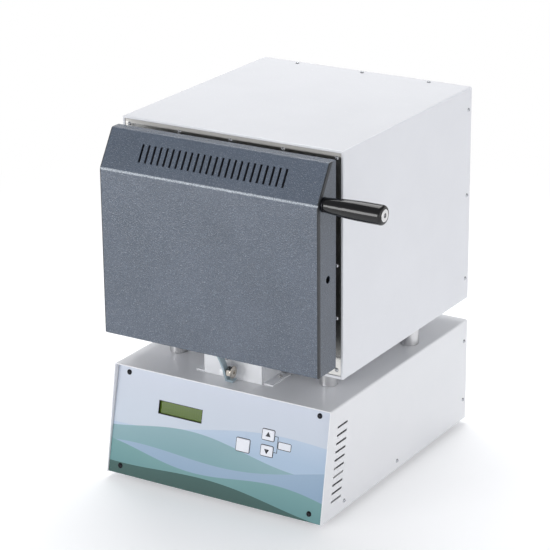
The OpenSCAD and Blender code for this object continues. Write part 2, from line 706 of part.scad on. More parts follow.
module bracket_screws() color(steel) at_bracket_screws() translate([0, 0, bracket_t]) dome_screw(m4, bracket_t + sheet + 4, false);

// Pivot bolt, driven in from the right through its lock nut, a washer and the arm into the ear
washer_t = 1;
bolt_x = ear_x + washer_t + m8_nut[1];
module pivot_bolt() color(steel) translate([0, pivot_y, pivot_z]) difference() {
    union() {
        translate([-ear_x - ear_t - 1, 0, 0]) rod_x(pivot_d, ear_x + ear_t + 1 + bolt_x + 0.1);
        translate([bolt_x, 0, 0]) rotate([0, 90, 0]) rotate_extrude($fn = 96)
            polygon([[0, 0], [pivot_head_d / 2, 0], [pivot_head_d / 2, 0.8], [pivot_head_d / 2 - 0.8, 1.4],
                [pivot_head_d / 2 - 3, 2], [0, 2]]);
    }
    translate([bolt_x + 0.2, 0, 0]) rotate([0, 90, 0]) cylinder(d = 5 / cos(30), h = 4, $fn = 6);
}
module pivot_nut() color(steel) translate([ear_x, pivot_y, pivot_z]) difference() {
    union() {
        rod_x(pivot_d * 2, washer_t);
        translate([washer_t, 0, 0]) rotate([0, 90, 0]) intersection() {
            cylinder(d = m8_nut[0] / cos(30), h = m8_nut[1], $fn = 6);
            nut_chamfer(m8_nut[0], m8_nut[1]);
        }
    }
    translate([-1, 0, 0]) rod_x(pivot_d + 2 * hole_gap, 12);
}
// Turned outline that takes the corners off both ends of a nut of width across flats w
module nut_chamfer(w, h) rotate_extrude($fn = 72)
    polygon([[0, 0], [w / 2 - 0.2, 0], [w / 2 + 1.2, 0.8], [w / 2 + 1.2, h - 0.8], [w / 2 - 0.2, h], [0, h]]);

// Floor of the housing: tray with upturned sides and a front flange
module housing_floor() color(white) difference() {
    w = housing_w - 2 * sheet;
    union() {
        span([-w / 2, panel_y, housing_z], [w / 2, housing_back, floor_top]);
        for (s = [0, 1]) mirror([s, 0, 0])
            span([w / 2 - sheet, flange_y + 4, housing_z], [w / 2, housing_back - 20, housing_z + 18]);
        span([-w / 2, flange_y, housing_z], [w / 2, flange_y + sheet, housing_z + flange_w + lip_w]);
        span([lip_w - housing_w / 2, housing_front, housing_z], [housing_w / 2 - lip_w, panel_y, housing_z + lip_w]);
    }
    at_standoffs() translate([0, 0, housing_z - 1]) cylinder(d = m5[0] + 2 * hole_gap, h = 5);
    translate([0, duct_y, housing_z - 1]) cylinder(d = duct_d - 4, h = 5);
    at_front_screws() rod_y(m3[0] + 2 * hole_gap, 5);
}

// Cover of the housing: folded sheet with a lip and a return flange round the front
module housing_cover() color(white) difference() {
    union() {
        along_y(housing_front, housing_back) cover_outline(housing_w, housing_z, housing_top, sheet, bend_r);
        along_y(housing_front, panel_y) cover_outline(housing_w, housing_z, housing_top, lip_w, lip_w + 0.5);
        along_y(flange_y, flange_y + sheet) difference() {
            cover_outline(housing_w, housing_z, housing_top, flange_w + sheet, flange_w + sheet + 0.5);
            polygon([[-housing_w / 2 + sheet, 0], [housing_w / 2 - sheet, 0],
                [housing_w / 2 - sheet, housing_z + flange_w + lip_w + fit_gap],
                [-housing_w / 2 + sheet, housing_z + flange_w + lip_w + fit_gap]]);
        }
    }
    at_front_screws() rod_y(m3[0] + 2 * hole_gap, 5);
    at_cover_screws() translate([0, 0, -4]) cylinder(d = m3[0] + 2 * hole_gap, h = 6);
}
module housing_cover_screws() color(steel) at_cover_screws() dome_screw(m3, 6, false);

// Rear panel of the housing: folded plate with air slots and the pipe's hole
module housing_rear_panel() color(white) difference() {
    y1 = housing_back - 2;
    rear_pan(housing_w - 2 * sheet, floor_top, housing_top - sheet, y1);
    for (k = [-7:7], z = [housing_z + 24, housing_top - 64])
        translate([k * 16 - 2, y1 - 4, z]) cube([4, 6, 36]);
    translate([0, y1 - 4, pipe_z]) rod_y(pipe_d + 2 * hole_gap, 6);
    at_cover_screws() translate([0, 0, -8]) cylinder(d = m3[0] + 2 * hole_gap, h = 10);
}

// Stainless front panel with the mouth of the chamber
module front_panel() color(steel) difference() {
    x = housing_w / 2 - lip_w - 0.4;
    span([-x, panel_y, housing_z + lip_w + 0.4], [x, flange_y, housing_top - lip_w - 0.4]);
    span([-muffle_w / 2 - 1, panel_y - 1, muffle_z0 - 1], [muffle_w / 2 + 1, flange_y + 1, muffle_z1 + 1]);
    at_front_screws() rod_y(m3[0] + 2 * hole_gap, 5);
}
module front_panel_screws() color(steel) at_front_screws() rotate([90, 0, 0]) dome_screw(m3, 6, false);

// Boards of ceramic fibre round the muffle
module insulation_bottom() color(fibre) difference() {
    span([-lining_w / 2, lining_y, floor_top], [lining_w / 2, lining_end, muffle_z0]);
    at_standoffs() translate([0, 0, floor_top - 1]) cylinder(d = 15, h = 11);
}
module insulation_roof() color(fibre)
    span([-lining_w / 2, lining_y, muffle_z1], [lining_w / 2, lining_end, lining_top]);
module insulation_sides() color(fibre) for (s = [0, 1]) mirror([s, 0, 0])
    span([muffle_w / 2, lining_y, muffle_z0], [lining_w / 2, lining_end, muffle_z1]);
module insulation_back() color(fibre) difference() {
    span([-muffle_w / 2, chamber_end + muffle_t, muffle_z0], [muffle_w / 2, lining_end, muffle_z1]);
    translate([0, chamber_end, pipe_z]) rod_y(pipe_d + 2 * hole_gap, 200);
    translate([probe_x, chamber_end, probe_z]) rod_y(probe_d + 2 * hole_gap, 200);
}

// Ceramic plates of the muffle, with grooves for the coils in the sides
module muffle_floor() color(ceramic)
    span([-muffle_w / 2, mouth_y, muffle_z0], [muffle_w / 2, chamber_end, muffle_z0 + muffle_t]);
module muffle_roof() color(ceramic)
    span([-muffle_w / 2, mouth_y, muffle_z1 - muffle_t], [muffle_w / 2, chamber_end, muffle_z1]);
module at_coils() for (s = [-1, 1], k = [0:coils - 1])
    translate([s * (chamber_w / 2 + coil_sink), 0, chamber_z + (k - (coils - 1) / 2) * coil_pitch]) children();
module muffle_sides() color(ceramic) difference() {
    for (s = [0, 1]) mirror([s, 0, 0])
        span([chamber_w / 2, mouth_y, muffle_z0 + muffle_t], [muffle_w / 2, chamber_end, muffle_z1 - muffle_t]);
    at_coils() translate([0, coil_y0, 0]) rod_y(groove_d, coil_y1 - coil_y0);
}
module muffle_back() color(ceramic) difference() {
    span([-muffle_w / 2, chamber_end, muffle_z0], [muffle_w / 2, chamber_end + muffle_t, muffle_z1]);
    translate([0, chamber_end - 1, pipe_z]) rod_y(pipe_d + 2 * hole_gap, 20);
    translate([probe_x, chamber_end - 1, probe_z]) rod_y(probe_d + 2 * hole_gap, 20);
}
module hearth_tile() color(ceramic) translate([0, mouth_y + 14 + (chamber_d - 20) / 2, chamber_z - chamber_h / 2])
    plate(chamber_w - 8, chamber_d - 20, hearth_t, 4);
module heating_coils() color("#8a7f78") at_coils() translate([0, coil_y0, 0]) rod_y(coil_d, coil_y1 - coil_y0);

// Temperature probe from the rear compartment into the chamber
module thermocouple() color(ceramic) translate([probe_x, chamber_end - probe_in, probe_z]) {
    rod_y(probe_d, probe_in + lining_end - chamber_end + 6);
    translate([0, probe_in + lining_end - chamber_end, 0]) rod_y(18, 14);
}

// Fume outlet: pipe from the chamber through the back, with a rosette
module fume_outlet() color(steel) translate([0, 0, pipe_z]) difference() {
    union() {
        translate([0, chamber_end, 0]) rod_y(pipe_d, housing_back - chamber_end + pipe_out);
        translate([0, housing_back - 2, 0]) rod_y(pipe_d + 20, 1.5);
    }
    translate([0, chamber_end - 1, 0]) rod_y(pipe_d - 2 * pipe_wall, housing_back - chamber_end + pipe_out + 2);
}

// Folded steel cover of the door, open at the back
module door_side(g) polygon(rounded([[door_back + 12, door_z + g], [door_front + g, door_z + g],
    [door_front + g, slant_z - g * tan(slant_angle / 2)],
    [slant_y + g * tan((90 - slant_angle) / 2), door_top - g], [door_back + 12, door_top - g]], bend_r - g, 5));
module door_cover() color(slate) difference() {
    along_x(-door_w / 2, door_w / 2) door_side(0);
    along_x(-door_w / 2 + sheet, door_w / 2 - sheet) door_side(sheet);
    span([-door_w, door_back, door_z - 1], [door_w, door_back + 20, door_top + 1]);
    for (k = [0:vents - 1]) translate([(k - (vents - 1) / 2) * vent_pitch, slant_y, door_top])
        rotate([-slant_angle, 0, 0]) translate([-vent_w / 2, -10, -vent_drop - vent_len]) cube([vent_w, 20, vent_len]);
    for (s = [-1, 1]) translate([s * door_w / 2 - 4, door_back - 19.3, door_z + door_h * 0.455]) rod_x(access_d, 8);
    translate([door_w / 2 - 4, grip_y, grip_z]) rod_x(spindle_d + 2 * hole_gap, 8);
    span([-arm_t / 2 - 1, arm_bar_y - 9, door_z - 1], [arm_t / 2 + 1, arm_bar_y + 8, door_z + sheet + 1]);
}

// Stainless pan that closes the door's back
module door_back_plate() color(steel) difference() {
    x = door_w / 2 - sheet;
    z0 = door_z + sheet;
    z1 = door_top - sheet;
    t = back_plate_t;
    span([-x, back_plate_y - 9, z0], [x, back_plate_y, z1]);
    span([-x + t, back_plate_y - 10, z0 + t], [x - t, back_plate_y - t, z1 - t]);
    span([-plug_w / 2 - 0.5, back_plate_y - 5, chamber_z - plug_h / 2 - 0.5],
        [plug_w / 2 + 0.5, back_plate_y + 1, chamber_z + plug_h / 2 + 0.5]);
}

// Insulation of the door: a block behind the pan and the plug that enters the chamber
block_front = door_front + sheet + block_gap;
block_back = back_plate_y - back_plate_t;
module door_insulation() color(fibre) {
    span([-plug_w / 2 - block_over, block_front, chamber_z - plug_h / 2 - block_over],
        [plug_w / 2 + block_over, block_back, chamber_z + plug_h / 2 + block_over]);
    span([-plug_w / 2, block_back - 1, chamber_z - plug_h / 2], [plug_w / 2, mouth_y + plug_in, chamber_z + plug_h / 2]);
}

// Hat-shaped rail inside the door, with the plate that the arm is screwed to
module door_carrier() color(steel) difference() {
    y0 = door_front + sheet;
    z0 = door_z + bend_r;
    z1 = slant_z - 8;
    t = carrier_t;
    union() {
        for (s = [0, 1]) mirror([s, 0, 0]) {
            span([20, y0, z0], [36, y0 + t, z1]);
            span([20, y0, z0], [20 + t, block_front, z1]);
        }
        span([-20 - t, block_front - t, z0], [20 + t, block_front, z1]);
        span([arm_t / 2, block_front - t, z0], [arm_t / 2 + t, arm_bar_y + 11, arm_bar_top]);
    }
    for (z = arm_screw_zs) translate([-5, arm_bar_y, z]) rod_x(arm_screw_d + 2 * hole_gap, 20);
}

// Curved arm that carries the door. Its lower end stays inside the circle of radius stop_r round
// the pivot, so that it clears the bracket, and is folded to a foot that stops the open door.
module swing_room() intersection() {
    union() {
        translate([pivot_y, pivot_z]) circle(stop_r, $fn = 120);
        translate([pivot_y - arm_r, pivot_z]) square([2 * arm_r, arm_r]);
    }
    translate([pivot_y - arm_r, stop_z]) square(2 * arm_r);
}
module arm_outline() {
    c = [arm_cy, arm_cz];
    far = 2 * arm_r;
    bar = [arm_bar_y - arm_w / 2, arm_cz + (arm_r - arm_w / 2) * sin(arm_turn)];
    intersection() {
        translate(c) difference() {
            circle(arm_r + arm_w / 2, $fn = 180);
            circle(arm_r - arm_w / 2, $fn = 180);
        }
        polygon([c, c + far * [cos(arm_tail), sin(arm_tail)], c + far * [1, 1], c + far * [cos(arm_turn), sin(arm_turn)]]);
    }
    translate(bar) square([arm_w, arm_bar_top - bar[1]]);
    translate([pivot_y, pivot_z]) circle(eye_r, $fn = 72);
}
module door_arm() color(zinc) difference() {
    union() {
        along_x(-arm_t / 2, arm_t / 2) intersection() {
            arm_outline();
            swing_room();
        }
        along_x(-arm_t / 2, arm_t / 2 + foot_reach) intersection() {
            translate([stop_y, stop_z]) square([stop_r, stop_t]);
            swing_room();
        }
    }
    translate([-arm_t, pivot_y, pivot_z]) rod_x(pivot_d + 2 * running, 2 * arm_t);
    for (z = arm_screw_zs) translate([-5, arm_bar_y, z]) rod_x(arm_screw_d + 2 * hole_gap, 10);
}
module arm_screws() color(steel) for (z = arm_screw_zs) translate([-arm_t / 2, arm_bar_y, z]) {
    rotate([0, -90, 0]) dome_screw(m4, arm_t + carrier_t + 4.5, true);
    translate([arm_t + carrier_t, 0, 0]) rotate([0, 90, 0]) cylinder(d = 8.1, h = 3.2, $fn = 6);
}

// Fixed collar of the handle, against the door's side
module handle_collar() color(black) translate([door_w / 2, grip_y, grip_z]) difference() {
    rod_x(grip_neck_d, collar_t);
    translate([-1, 0, 0]) rod_x(spindle_d + 2 * hole_gap, collar_t + 2);
}

// Spindle with its polished head at the end and its nut inside the door
grip_end = grip_x + grip_len;
module handle_spindle() color(steel) translate([0, grip_y, grip_z]) difference() {
    union() {
        translate([door_w / 2 - sheet - 8, 0, 0]) rod_x(spindle_d, grip_end - door_w / 2 + sheet + 8 - 1);
        translate([door_w / 2 - sheet - 5, 0, 0]) rotate([0, 90, 0]) cylinder(d = m8_nut[0] / cos(30), h = 5, $fn = 6);
        translate([grip_end + 0.3 - head_t, 0, 0]) rotate([0, 90, 0]) rotate_extrude($fn = 96)
            polygon([[0, 0], [head_d / 2, 0], [head_d / 2, head_t - 0.5], [head_d / 2 - 0.5, head_t], [0, head_t]]);
    }
    translate([grip_end - 4, 0, 0]) rotate([0, 90, 0]) cylinder(d = 6 / cos(30), h = 6, $fn = 6);
}

// Revolving grip: a slender barrel with a rounded end that the head sits in
grip_round = 4;
module handle_grip() color(black) translate([grip_x, grip_y, grip_z]) rotate([0, 90, 0]) rotate_extrude($fn = 96)
    polygon(concat([[spindle_d / 2 + running, 0], [grip_neck_d / 2 - 0.6, 0]],
        [for (k = [0:12]) let (t = k / 12) [grip_neck_d / 2 + (grip_d - grip_neck_d) / 2 * sin(90 * t),
            0.6 + (grip_len * 0.72 - 0.6) * t]],
        [for (a = [0:15:90]) [grip_d / 2 - grip_round + grip_round * cos(a), grip_len - grip_round + grip_round * sin(a)]],
        [[head_d / 2 + fit_gap, grip_len], [head_d / 2 + fit_gap, grip_len - head_t + 0.2],
            [spindle_d / 2 + running, grip_len - head_t + 0.2]]));

feet();
foot_screws();
base_tray();
base_cover();
base_rear_panel();
base_screws();
panel_rails();
panel_plate();
panel_film();
panel_screws();
key_enter();
key_up();
key_down();
control_board();
board_spacers();
display_module();
display_glass();
transformer();
relay_heatsink();
solid_state_relay();
terminal_strip();
mains_inlet();
inlet_pins();
switch_frame();
switch_rocker();
standoffs();
standoff_bolts();
hinge_bracket();
bracket_screws();
pivot_bolt();
pivot_nut();
wiring_duct();
housing_floor();
housing_cover();
housing_cover_screws();
housing_rear_panel();
front_panel();
front_panel_screws();
insulation_bottom();
insulation_roof();
insulation_sides();
insulation_back();
muffle_floor();
muffle_roof();
muffle_sides();
muffle_back();
hearth_tile();
heating_coils();
thermocouple();
fume_outlet();
door_cover();
door_back_plate();
door_insulation();
door_carrier();
door_arm();
arm_screws();
handle_collar();
handle_spindle();
handle_grip();
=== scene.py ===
"""A bench furnace for a dental laboratory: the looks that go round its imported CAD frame."""
from math import atan2, cos, pi, radians, sin, tan

import bmesh
import bpy
from mathutils import Matrix, Vector


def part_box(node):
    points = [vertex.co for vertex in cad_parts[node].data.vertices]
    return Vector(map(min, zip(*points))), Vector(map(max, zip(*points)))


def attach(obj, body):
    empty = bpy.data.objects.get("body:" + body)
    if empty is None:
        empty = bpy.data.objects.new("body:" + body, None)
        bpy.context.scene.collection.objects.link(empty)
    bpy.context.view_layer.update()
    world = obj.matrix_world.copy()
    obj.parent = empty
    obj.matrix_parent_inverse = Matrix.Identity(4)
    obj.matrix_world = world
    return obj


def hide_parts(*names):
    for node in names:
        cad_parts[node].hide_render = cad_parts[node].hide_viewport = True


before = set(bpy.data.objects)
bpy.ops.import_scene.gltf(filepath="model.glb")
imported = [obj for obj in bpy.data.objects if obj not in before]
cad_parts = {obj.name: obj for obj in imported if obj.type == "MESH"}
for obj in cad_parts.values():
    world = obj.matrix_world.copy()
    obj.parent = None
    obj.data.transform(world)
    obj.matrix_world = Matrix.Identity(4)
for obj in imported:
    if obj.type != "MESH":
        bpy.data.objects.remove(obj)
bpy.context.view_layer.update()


# Camera
# A 149 mm lens at the height and side that the edges of base, housing and door
# give in the photograph. It is turned a little about its own axis.
def camera_axes(yaw, pitch, roll):
    """Orientation of a camera that looks along a yaw and a pitch, turned by a roll."""
    forward = Vector((-sin(yaw) * cos(pitch), cos(yaw) * cos(pitch), -sin(pitch)))
    level = Vector((cos(yaw), sin(yaw), 0.0))
    upright = level.cross(forward)
    across = level * cos(roll) + upright * sin(roll)
    above = upright * cos(roll) - level * sin(roll)
    return Matrix((across, above, -forward)).transposed().to_4x4()


lens = bpy.data.cameras.new("lens")
lens.lens = 148.73
lens.sensor_width = 36.0
lens.clip_start = 0.1
viewer = bpy.data.objects.new("viewer", lens)
bpy.context.scene.collection.objects.link(viewer)
viewer.matrix_world = camera_axes(radians(31.52), radians(19.85), radians(-0.514))
viewer.matrix_world.translation = (1.4898, -2.4667, 1.2963)
bpy.context.scene.camera = viewer
bpy.context.scene.view_settings.view_transform = "Standard"


# Studio floor and light
# A pale paper sweep, which fades to white away from the object, in a room that is
# bright at eye level and dimmer overhead. Soft boxes hang behind, before and beside.
def linear(code):
    """Linear colour with alpha of an sRGB hex code such as #d0d4da."""
    parts = [int(code[i:i + 2], 16) / 255 for i in (1, 3, 5)]
    return tuple(p / 12.92 if p <= 0.04045 else ((p + 0.055) / 1.055) ** 2.4 for p in parts) + (1.0,)


def add(material, kind, sockets=None, **settings):
    """Adds a shader node with its settings, and sets or links its sockets."""
    node = material.node_tree.nodes.new("ShaderNode" + kind)
    for name, value in settings.items():
        setattr(node, name, value)
    for name, value in (sockets or {}).items():
        if isinstance(value, bpy.types.NodeSocket):
            material.node_tree.links.new(value, node.inputs[name])
        else:
            node.inputs[name].default_value = value
    return node


def blank(name):
    """A material with nothing but its output node."""
    material = bpy.data.materials.new(name)
    material.use_nodes = True
    material.node_tree.nodes.clear()
    add(material, "OutputMaterial")
    return material


def surface(material, shader):
    """Links a shader to the material's output."""
    output = material.node_tree.nodes["Material Output"]
    material.node_tree.links.new(shader, output.inputs["Surface"])


room = bpy.data.worlds.new("room")
room.use_nodes = True
room.node_tree.nodes.clear()
bpy.context.scene.world = room
white = (1.0, 1.0, 1.0, 1.0)
rays = add(room, "LightPath").outputs
towards = add(room, "TexCoord").outputs["Generated"]
upward = add(room, "SeparateXYZ", {"Vector": towards}).outputs["Z"]
fill = add(room, "MapRange", {"Value": upward, 1: 0.0, 2: 0.7, 3: 1.18, 4: 0.41}).outputs[0]
mirrored = add(room, "MapRange", {"Value": upward, 1: 0.1, 2: 0.5, 3: 1.0, 4: 0.3}).outputs[0]
fill_light = add(room, "Background", {"Color": linear("#f4f6fa"), "Strength": fill}).outputs[0]
mirror_light = add(room, "Background", {"Color": white, "Strength": mirrored}).outputs[0]
backdrop = add(room, "Background", {"Color": white, "Strength": 1.0}).outputs[0]
lit = add(room, "MixShader", {0: rays["Is Glossy Ray"], 1: fill_light, 2: mirror_light}).outputs[0]
seen = add(room, "Math", {0: rays["Is Camera Ray"], 1: rays["Is Transmission Ray"]},
    operation="MAXIMUM").outputs[0]
shown = add(room, "MixShader", {0: seen, 1: lit, 2: backdrop}).outputs[0]
add(room, "OutputWorld", {"Surface": shown})

floor_paint = blank("pale_paper_sweep")
rays = add(floor_paint, "LightPath").outputs
paper = add(floor_paint, "BsdfDiffuse", {"Color": (0.93, 0.93, 0.935, 1.0)}).outputs[0]
glow = add(floor_paint, "Emission", {"Color": white, "Strength": 0.24}).outputs[0]
lit = add(floor_paint, "AddShader", {0: paper, 1: glow}).outputs[0]
place = add(floor_paint, "TexCoord").outputs["Object"]
away = add(floor_paint, "VectorMath", {0: place}, operation="LENGTH").outputs["Value"]
far = add(floor_paint, "MapRange", {"Value": away, 1: 0.45, 2: 1.4},
    interpolation_type="SMOOTHSTEP").outputs[0]
burnt_out = add(floor_paint, "Emission", {"Color": white, "Strength": 1.0}).outputs[0]
faded = add(floor_paint, "MixShader", {0: far, 1: lit, 2: burnt_out}).outputs[0]
seen = add(floor_paint, "Math", {0: rays["Is Camera Ray"], 1: rays["Is Glossy Ray"]},
    operation="MAXIMUM").outputs[0]
seen = add(floor_paint, "Math", {0: seen, 1: rays["Is Transmission Ray"]},
    operation="MAXIMUM").outputs[0]
shown = add(floor_paint, "MixShader", {0: seen, 1: paper, 2: faded}).outputs[0]
surface(floor_paint, shown)
sweep = bmesh.new()
bmesh.ops.create_grid(sweep, x_segments=1, y_segments=1, size=6.0)
floor_mesh = bpy.data.meshes.new("floor")
sweep.to_mesh(floor_mesh)
sweep.free()
floor_mesh.materials.append(floor_paint)
floor = bpy.data.objects.new("floor", floor_mesh)
bpy.context.scene.collection.objects.link(floor)


def soft_box(name, place, aim, size, power):
    """A square area lamp that shines from its place to its aim."""
    lamp = bpy.data.lights.new(name, "AREA")
    lamp.shape = "SQUARE"
    lamp.size = size
    lamp.energy = power
    box = bpy.data.objects.new(name, lamp)
    bpy.context.scene.collection.objects.link(box)
    turn = (Vector(aim) - Vector(place)).to_track_quat("-Z", "Y")
    box.matrix_world = Matrix.Translation(place) @ turn.to_matrix().to_4x4()


soft_box("rear_box", (-0.6, 1.0, 2.5), (0.0, 0.1, 0.3), 1.8, 37.0)
soft_box("front_box", (-1.3, -2.6, 0.6), (0.0, 0.0, 0.25), 1.1, 22.0)
soft_box("right_box", (2.6, -0.5, 0.9), (0.0, 0.0, 0.3), 2.4, 12.5)


# Powder-coated sheet steel
# Polyester powder baked on steel, with a fine orange peel of about 1.5 mm. The
# housing's coat is satin, and the base and the bracket have a glossier one.
MM = 0.001


def powder_coat(name, smooth, rough, dark, pale, index=1.5):
    """White baked powder between two roughnesses and two tones."""
    powder = blank(name)
    place = add(powder, "TexCoord").outputs["Object"]
    peel = add(powder, "TexNoise", {"Vector": place, "Scale": 650.0, "Detail": 2.0}).outputs["Fac"]
    cloud = add(powder, "TexNoise", {"Vector": place, "Scale": 9.0, "Detail": 3.0,
        "Roughness": 0.55}).outputs["Fac"]
    tone = add(powder, "ValToRGB", {"Fac": cloud})
    for stop, position, colour in zip(tone.color_ramp.elements, (0.3, 0.7), (dark, pale)):
        stop.position = position
        stop.color = linear(colour)
    sheen = add(powder, "MapRange", {"Value": peel, 3: smooth, 4: rough}).outputs[0]
    dimple = add(powder, "Bump", {"Height": peel, "Strength": 0.1, "Distance": 0.2 * MM})
    coat = add(powder, "BsdfPrincipled", {"Base Color": tone.outputs["Color"], "Roughness": sheen,
        "IOR": index, "Normal": dimple.outputs[0]})
    surface(powder, coat.outputs[0])
    return powder


white_coat = powder_coat("white_powder_coat_satin", 0.2, 0.3, "#e6e7eb", "#eaebef")
gloss_coat = powder_coat("white_powder_coat_gloss", 0.12, 0.2, "#edeef0", "#f1f1f3", 1.45)
# The bracket's tone is painted lighter than the base's, to stand in for light lost to the door's
# shade.
bracket_coat_painted_light = powder_coat("white_powder_coat_bracket", 0.12, 0.2, "#f2f3f6", "#f5f6f8")


# Base cover
# One sheet of 1.5 mm steel, folded down at both sides and powder coated white. Its
# front edges lean back, and ten slots in each side let air to the electronics.
def piece(shape, name, body, material, replaced=(), angle=35.0):
    """Makes a finished bmesh an object that rides on its body, smooth up to an angle."""
    mesh = bpy.data.meshes.new(name)
    shape.to_mesh(mesh)
    shape.free()
    mesh.materials.append(material)
    mesh.shade_smooth()
    mesh.set_sharp_from_angle(angle=radians(angle))
    item = bpy.data.objects.new(name, mesh)
    bpy.context.scene.collection.objects.link(item)
    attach(item, body)
    if replaced:
        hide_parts(*replaced)
    return item


def box_shape(low, high):
    """A bmesh box between two opposite corners."""
    shape = bmesh.new()
    bmesh.ops.create_cube(shape, size=1.0)
    middle, size = (Vector(low) + Vector(high)) / 2, Vector(high) - Vector(low)
    bmesh.ops.scale(shape, vec=size, verts=shape.verts)
    bmesh.ops.translate(shape, vec=middle, verts=shape.verts)
    return shape


NEAR = 1e-6  # metres by which two coordinates may differ and count as equal


def faces_towards(shape, direction, least=0.9):
    """The faces of a shape whose normals point in a direction."""
    shape.normal_update()
    return [f for f in shape.faces if f.normal.dot(Vector(direction)) > least]


def fold(shape, edges, radius, steps):
    """Rounds edges to a radius, as a press brake rounds a fold."""
    bmesh.ops.bevel(shape, geom=list(edges), offset=radius, segments=steps, profile=0.5,
        affect="EDGES", material=-1, clamp_overlap=True)


def punch(shape, centre, right, up, width, height, rounded=False):
    """Punches a rectangular or round hole through the flat faces at a centre."""
    centre, right, up = Vector(centre), Vector(right).normalized(), Vector(up).normalized()
    out = right.cross(up)

    def near():
        """The flat faces that the hole still touches."""
        shape.normal_update()
        found = []
        for face in shape.faces:
            off = (face.calc_center_median() - centre).dot(out)
            if abs(face.normal.dot(out)) < 0.999 or abs(off) > 1e-5:
                continue
            xs = [(v.co - centre).dot(right) for v in face.verts]
            ys = [(v.co - centre).dot(up) for v in face.verts]
            if min(xs) < width / 2 - NEAR and max(xs) > NEAR - width / 2 \
                    and min(ys) < height / 2 - NEAR and max(ys) > NEAR - height / 2:
                found.append(face)
        return found

    for axis, half in ((right, width / 2), (up, height / 2)):
        for side in (-1, 1):
            faces = near()
            edges = dict.fromkeys(e for f in faces for e in f.edges)
            verts = dict.fromkeys(v for f in faces for v in f.verts)
            bmesh.ops.bisect_plane(shape, geom=[*faces, *edges, *verts], dist=1e-7,
                plane_co=centre + axis * side * half, plane_no=axis)
    inside = near()
    corners = [v for f in inside for v in f.verts]
    bmesh.ops.delete(shape, geom=inside, context="FACES")
    if rounded:
        around = [v for v in dict.fromkeys(corners) if v.is_valid]
        bmesh.ops.bevel(shape, geom=around, offset=width / 2 * 0.999, segments=7, profile=0.5,
            affect="VERTICES", material=-1)


def break_edges(item, width, angle):
    """Takes the sharpness off every edge that is steeper than an angle."""
    rim = item.modifiers.new("rim", "BEVEL")
    rim.width = width
    rim.segments = 2
    rim.limit_method = "ANGLE"
    rim.angle_limit = radians(angle)


def keep_flat(item):
    """Lets large faces keep their normals, so that a bend doesn't curve what a sheet mirrors."""
    flat = item.modifiers.new("flat_faces", "WEIGHTED_NORMAL")
    flat.mode = "FACE_AREA"
    flat.keep_sharp = True


def sheet(item, thickness, edge=0.0):
    """Gives a folded surface its thickness inwards, and breaks its cut edges."""
    wall = item.modifiers.new("wall", "SOLIDIFY")
    wall.thickness = thickness
    wall.offset = -1.0
    wall.use_even_offset = True
    if edge:
        break_edges(item, edge, 50)
    keep_flat(item)


base_low, base_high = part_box("base_cover")
half_way = (base_low.z + base_high.z) / 2
edge_lean = tan(radians(10.2))
bend_r = 2.5 * MM
slot_rows, slot_drop, slot_pitch, slot_setback = 10, 27.8 * MM, 10.9 * MM, 22 * MM
slot_l, slot_w = 26 * MM, 2.9 * MM


def slot_middle(row):
    """Depth and height of a side slot's middle; the slots follow the leaning front edge."""
    level = base_high.z - slot_drop - slot_pitch * row
    return base_low.y + (level - base_low.z) * edge_lean + slot_setback + slot_l / 2, level


cover = box_shape(base_low, base_high)
for vert in cover.verts:
    if vert.co.y < 0 and vert.co.z > half_way:
        vert.co.y += (base_high.z - base_low.z) * edge_lean
bmesh.ops.delete(cover, geom=faces_towards(cover, (0, -1, 0), 0.8)
    + faces_towards(cover, (0, 1, 0)) + faces_towards(cover, (0, 0, -1)), context="FACES")
fold(cover, [e for e in cover.edges if all(v.co.z > half_way for v in e.verts)
    and abs(e.verts[0].co.x - e.verts[1].co.x) < NEAR], bend_r, 6)
for row in range(slot_rows):
    depth, level = slot_middle(row)
    for side in (-1, 1):
        punch(cover, (side * base_high.x, depth, level), (0, side, 0), (0, 0, 1), slot_l, slot_w)
base_cover = piece(cover, "base_cover_folded", "furnace", gloss_coat, ["base_cover"])
sheet(base_cover, 1.5 * MM, 0.25 * MM)


# Housing cover
# The upper cover is coated steel, drawn 1.2 mm thick and folded over the lining. Its
# front edge is turned in to a narrow lip, and nine screws hold it at the back.
house_low, house_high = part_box("housing_cover")
lip_w, lip_return, lip_r = 3.5 * MM, 1.2 * MM, 1.0 * MM
steep = 1.2  # radians between two faces that meet at a fold
shell = box_shape(house_low, house_high)
bmesh.ops.delete(shell, geom=faces_towards(shell, (0, 1, 0)) + faces_towards(shell, (0, 0, -1)),
    context="FACES")
bmesh.ops.inset_region(shell, faces=faces_towards(shell, (0, -1, 0)), thickness=lip_w,
    use_even_offset=True)
front = faces_towards(shell, (0, -1, 0))
mouth = max(front, key=lambda f: f.calc_area())
bottom_lip = [f for f in front if f.calc_center_median().z < house_low.z + lip_w]
inner = list(mouth.edges)
bmesh.ops.delete(shell, geom=[mouth] + bottom_lip, context="FACES")
inner = [e for e in inner if e.is_valid and e.is_boundary
    and max(v.co.z for v in e.verts) > house_low.z + 4 * MM]
returned = bmesh.ops.extrude_edge_only(shell, edges=inner)["geom"]
bmesh.ops.translate(shell, vec=(0, lip_return, 0),
    verts=[v for v in returned if isinstance(v, bmesh.types.BMVert)])
fold(shell, [e for e in shell.edges if all(abs(v.co.z - house_high.z) < NEAR
    and abs(abs(v.co.x) - house_high.x) < NEAR for v in e.verts)], bend_r, 6)
fold(shell, [e for e in shell.edges if len(e.link_faces) == 2 and e.calc_face_angle() > steep
    and all(abs(v.co.y - house_low.y) < NEAR for v in e.verts)], lip_r, 3)
bmesh.ops.recalc_face_normals(shell, faces=shell.faces)
housing_cover = piece(shell, "housing_cover_folded", "furnace", white_coat,
    ["housing_cover"])
sheet(housing_cover, 1.2 * MM)
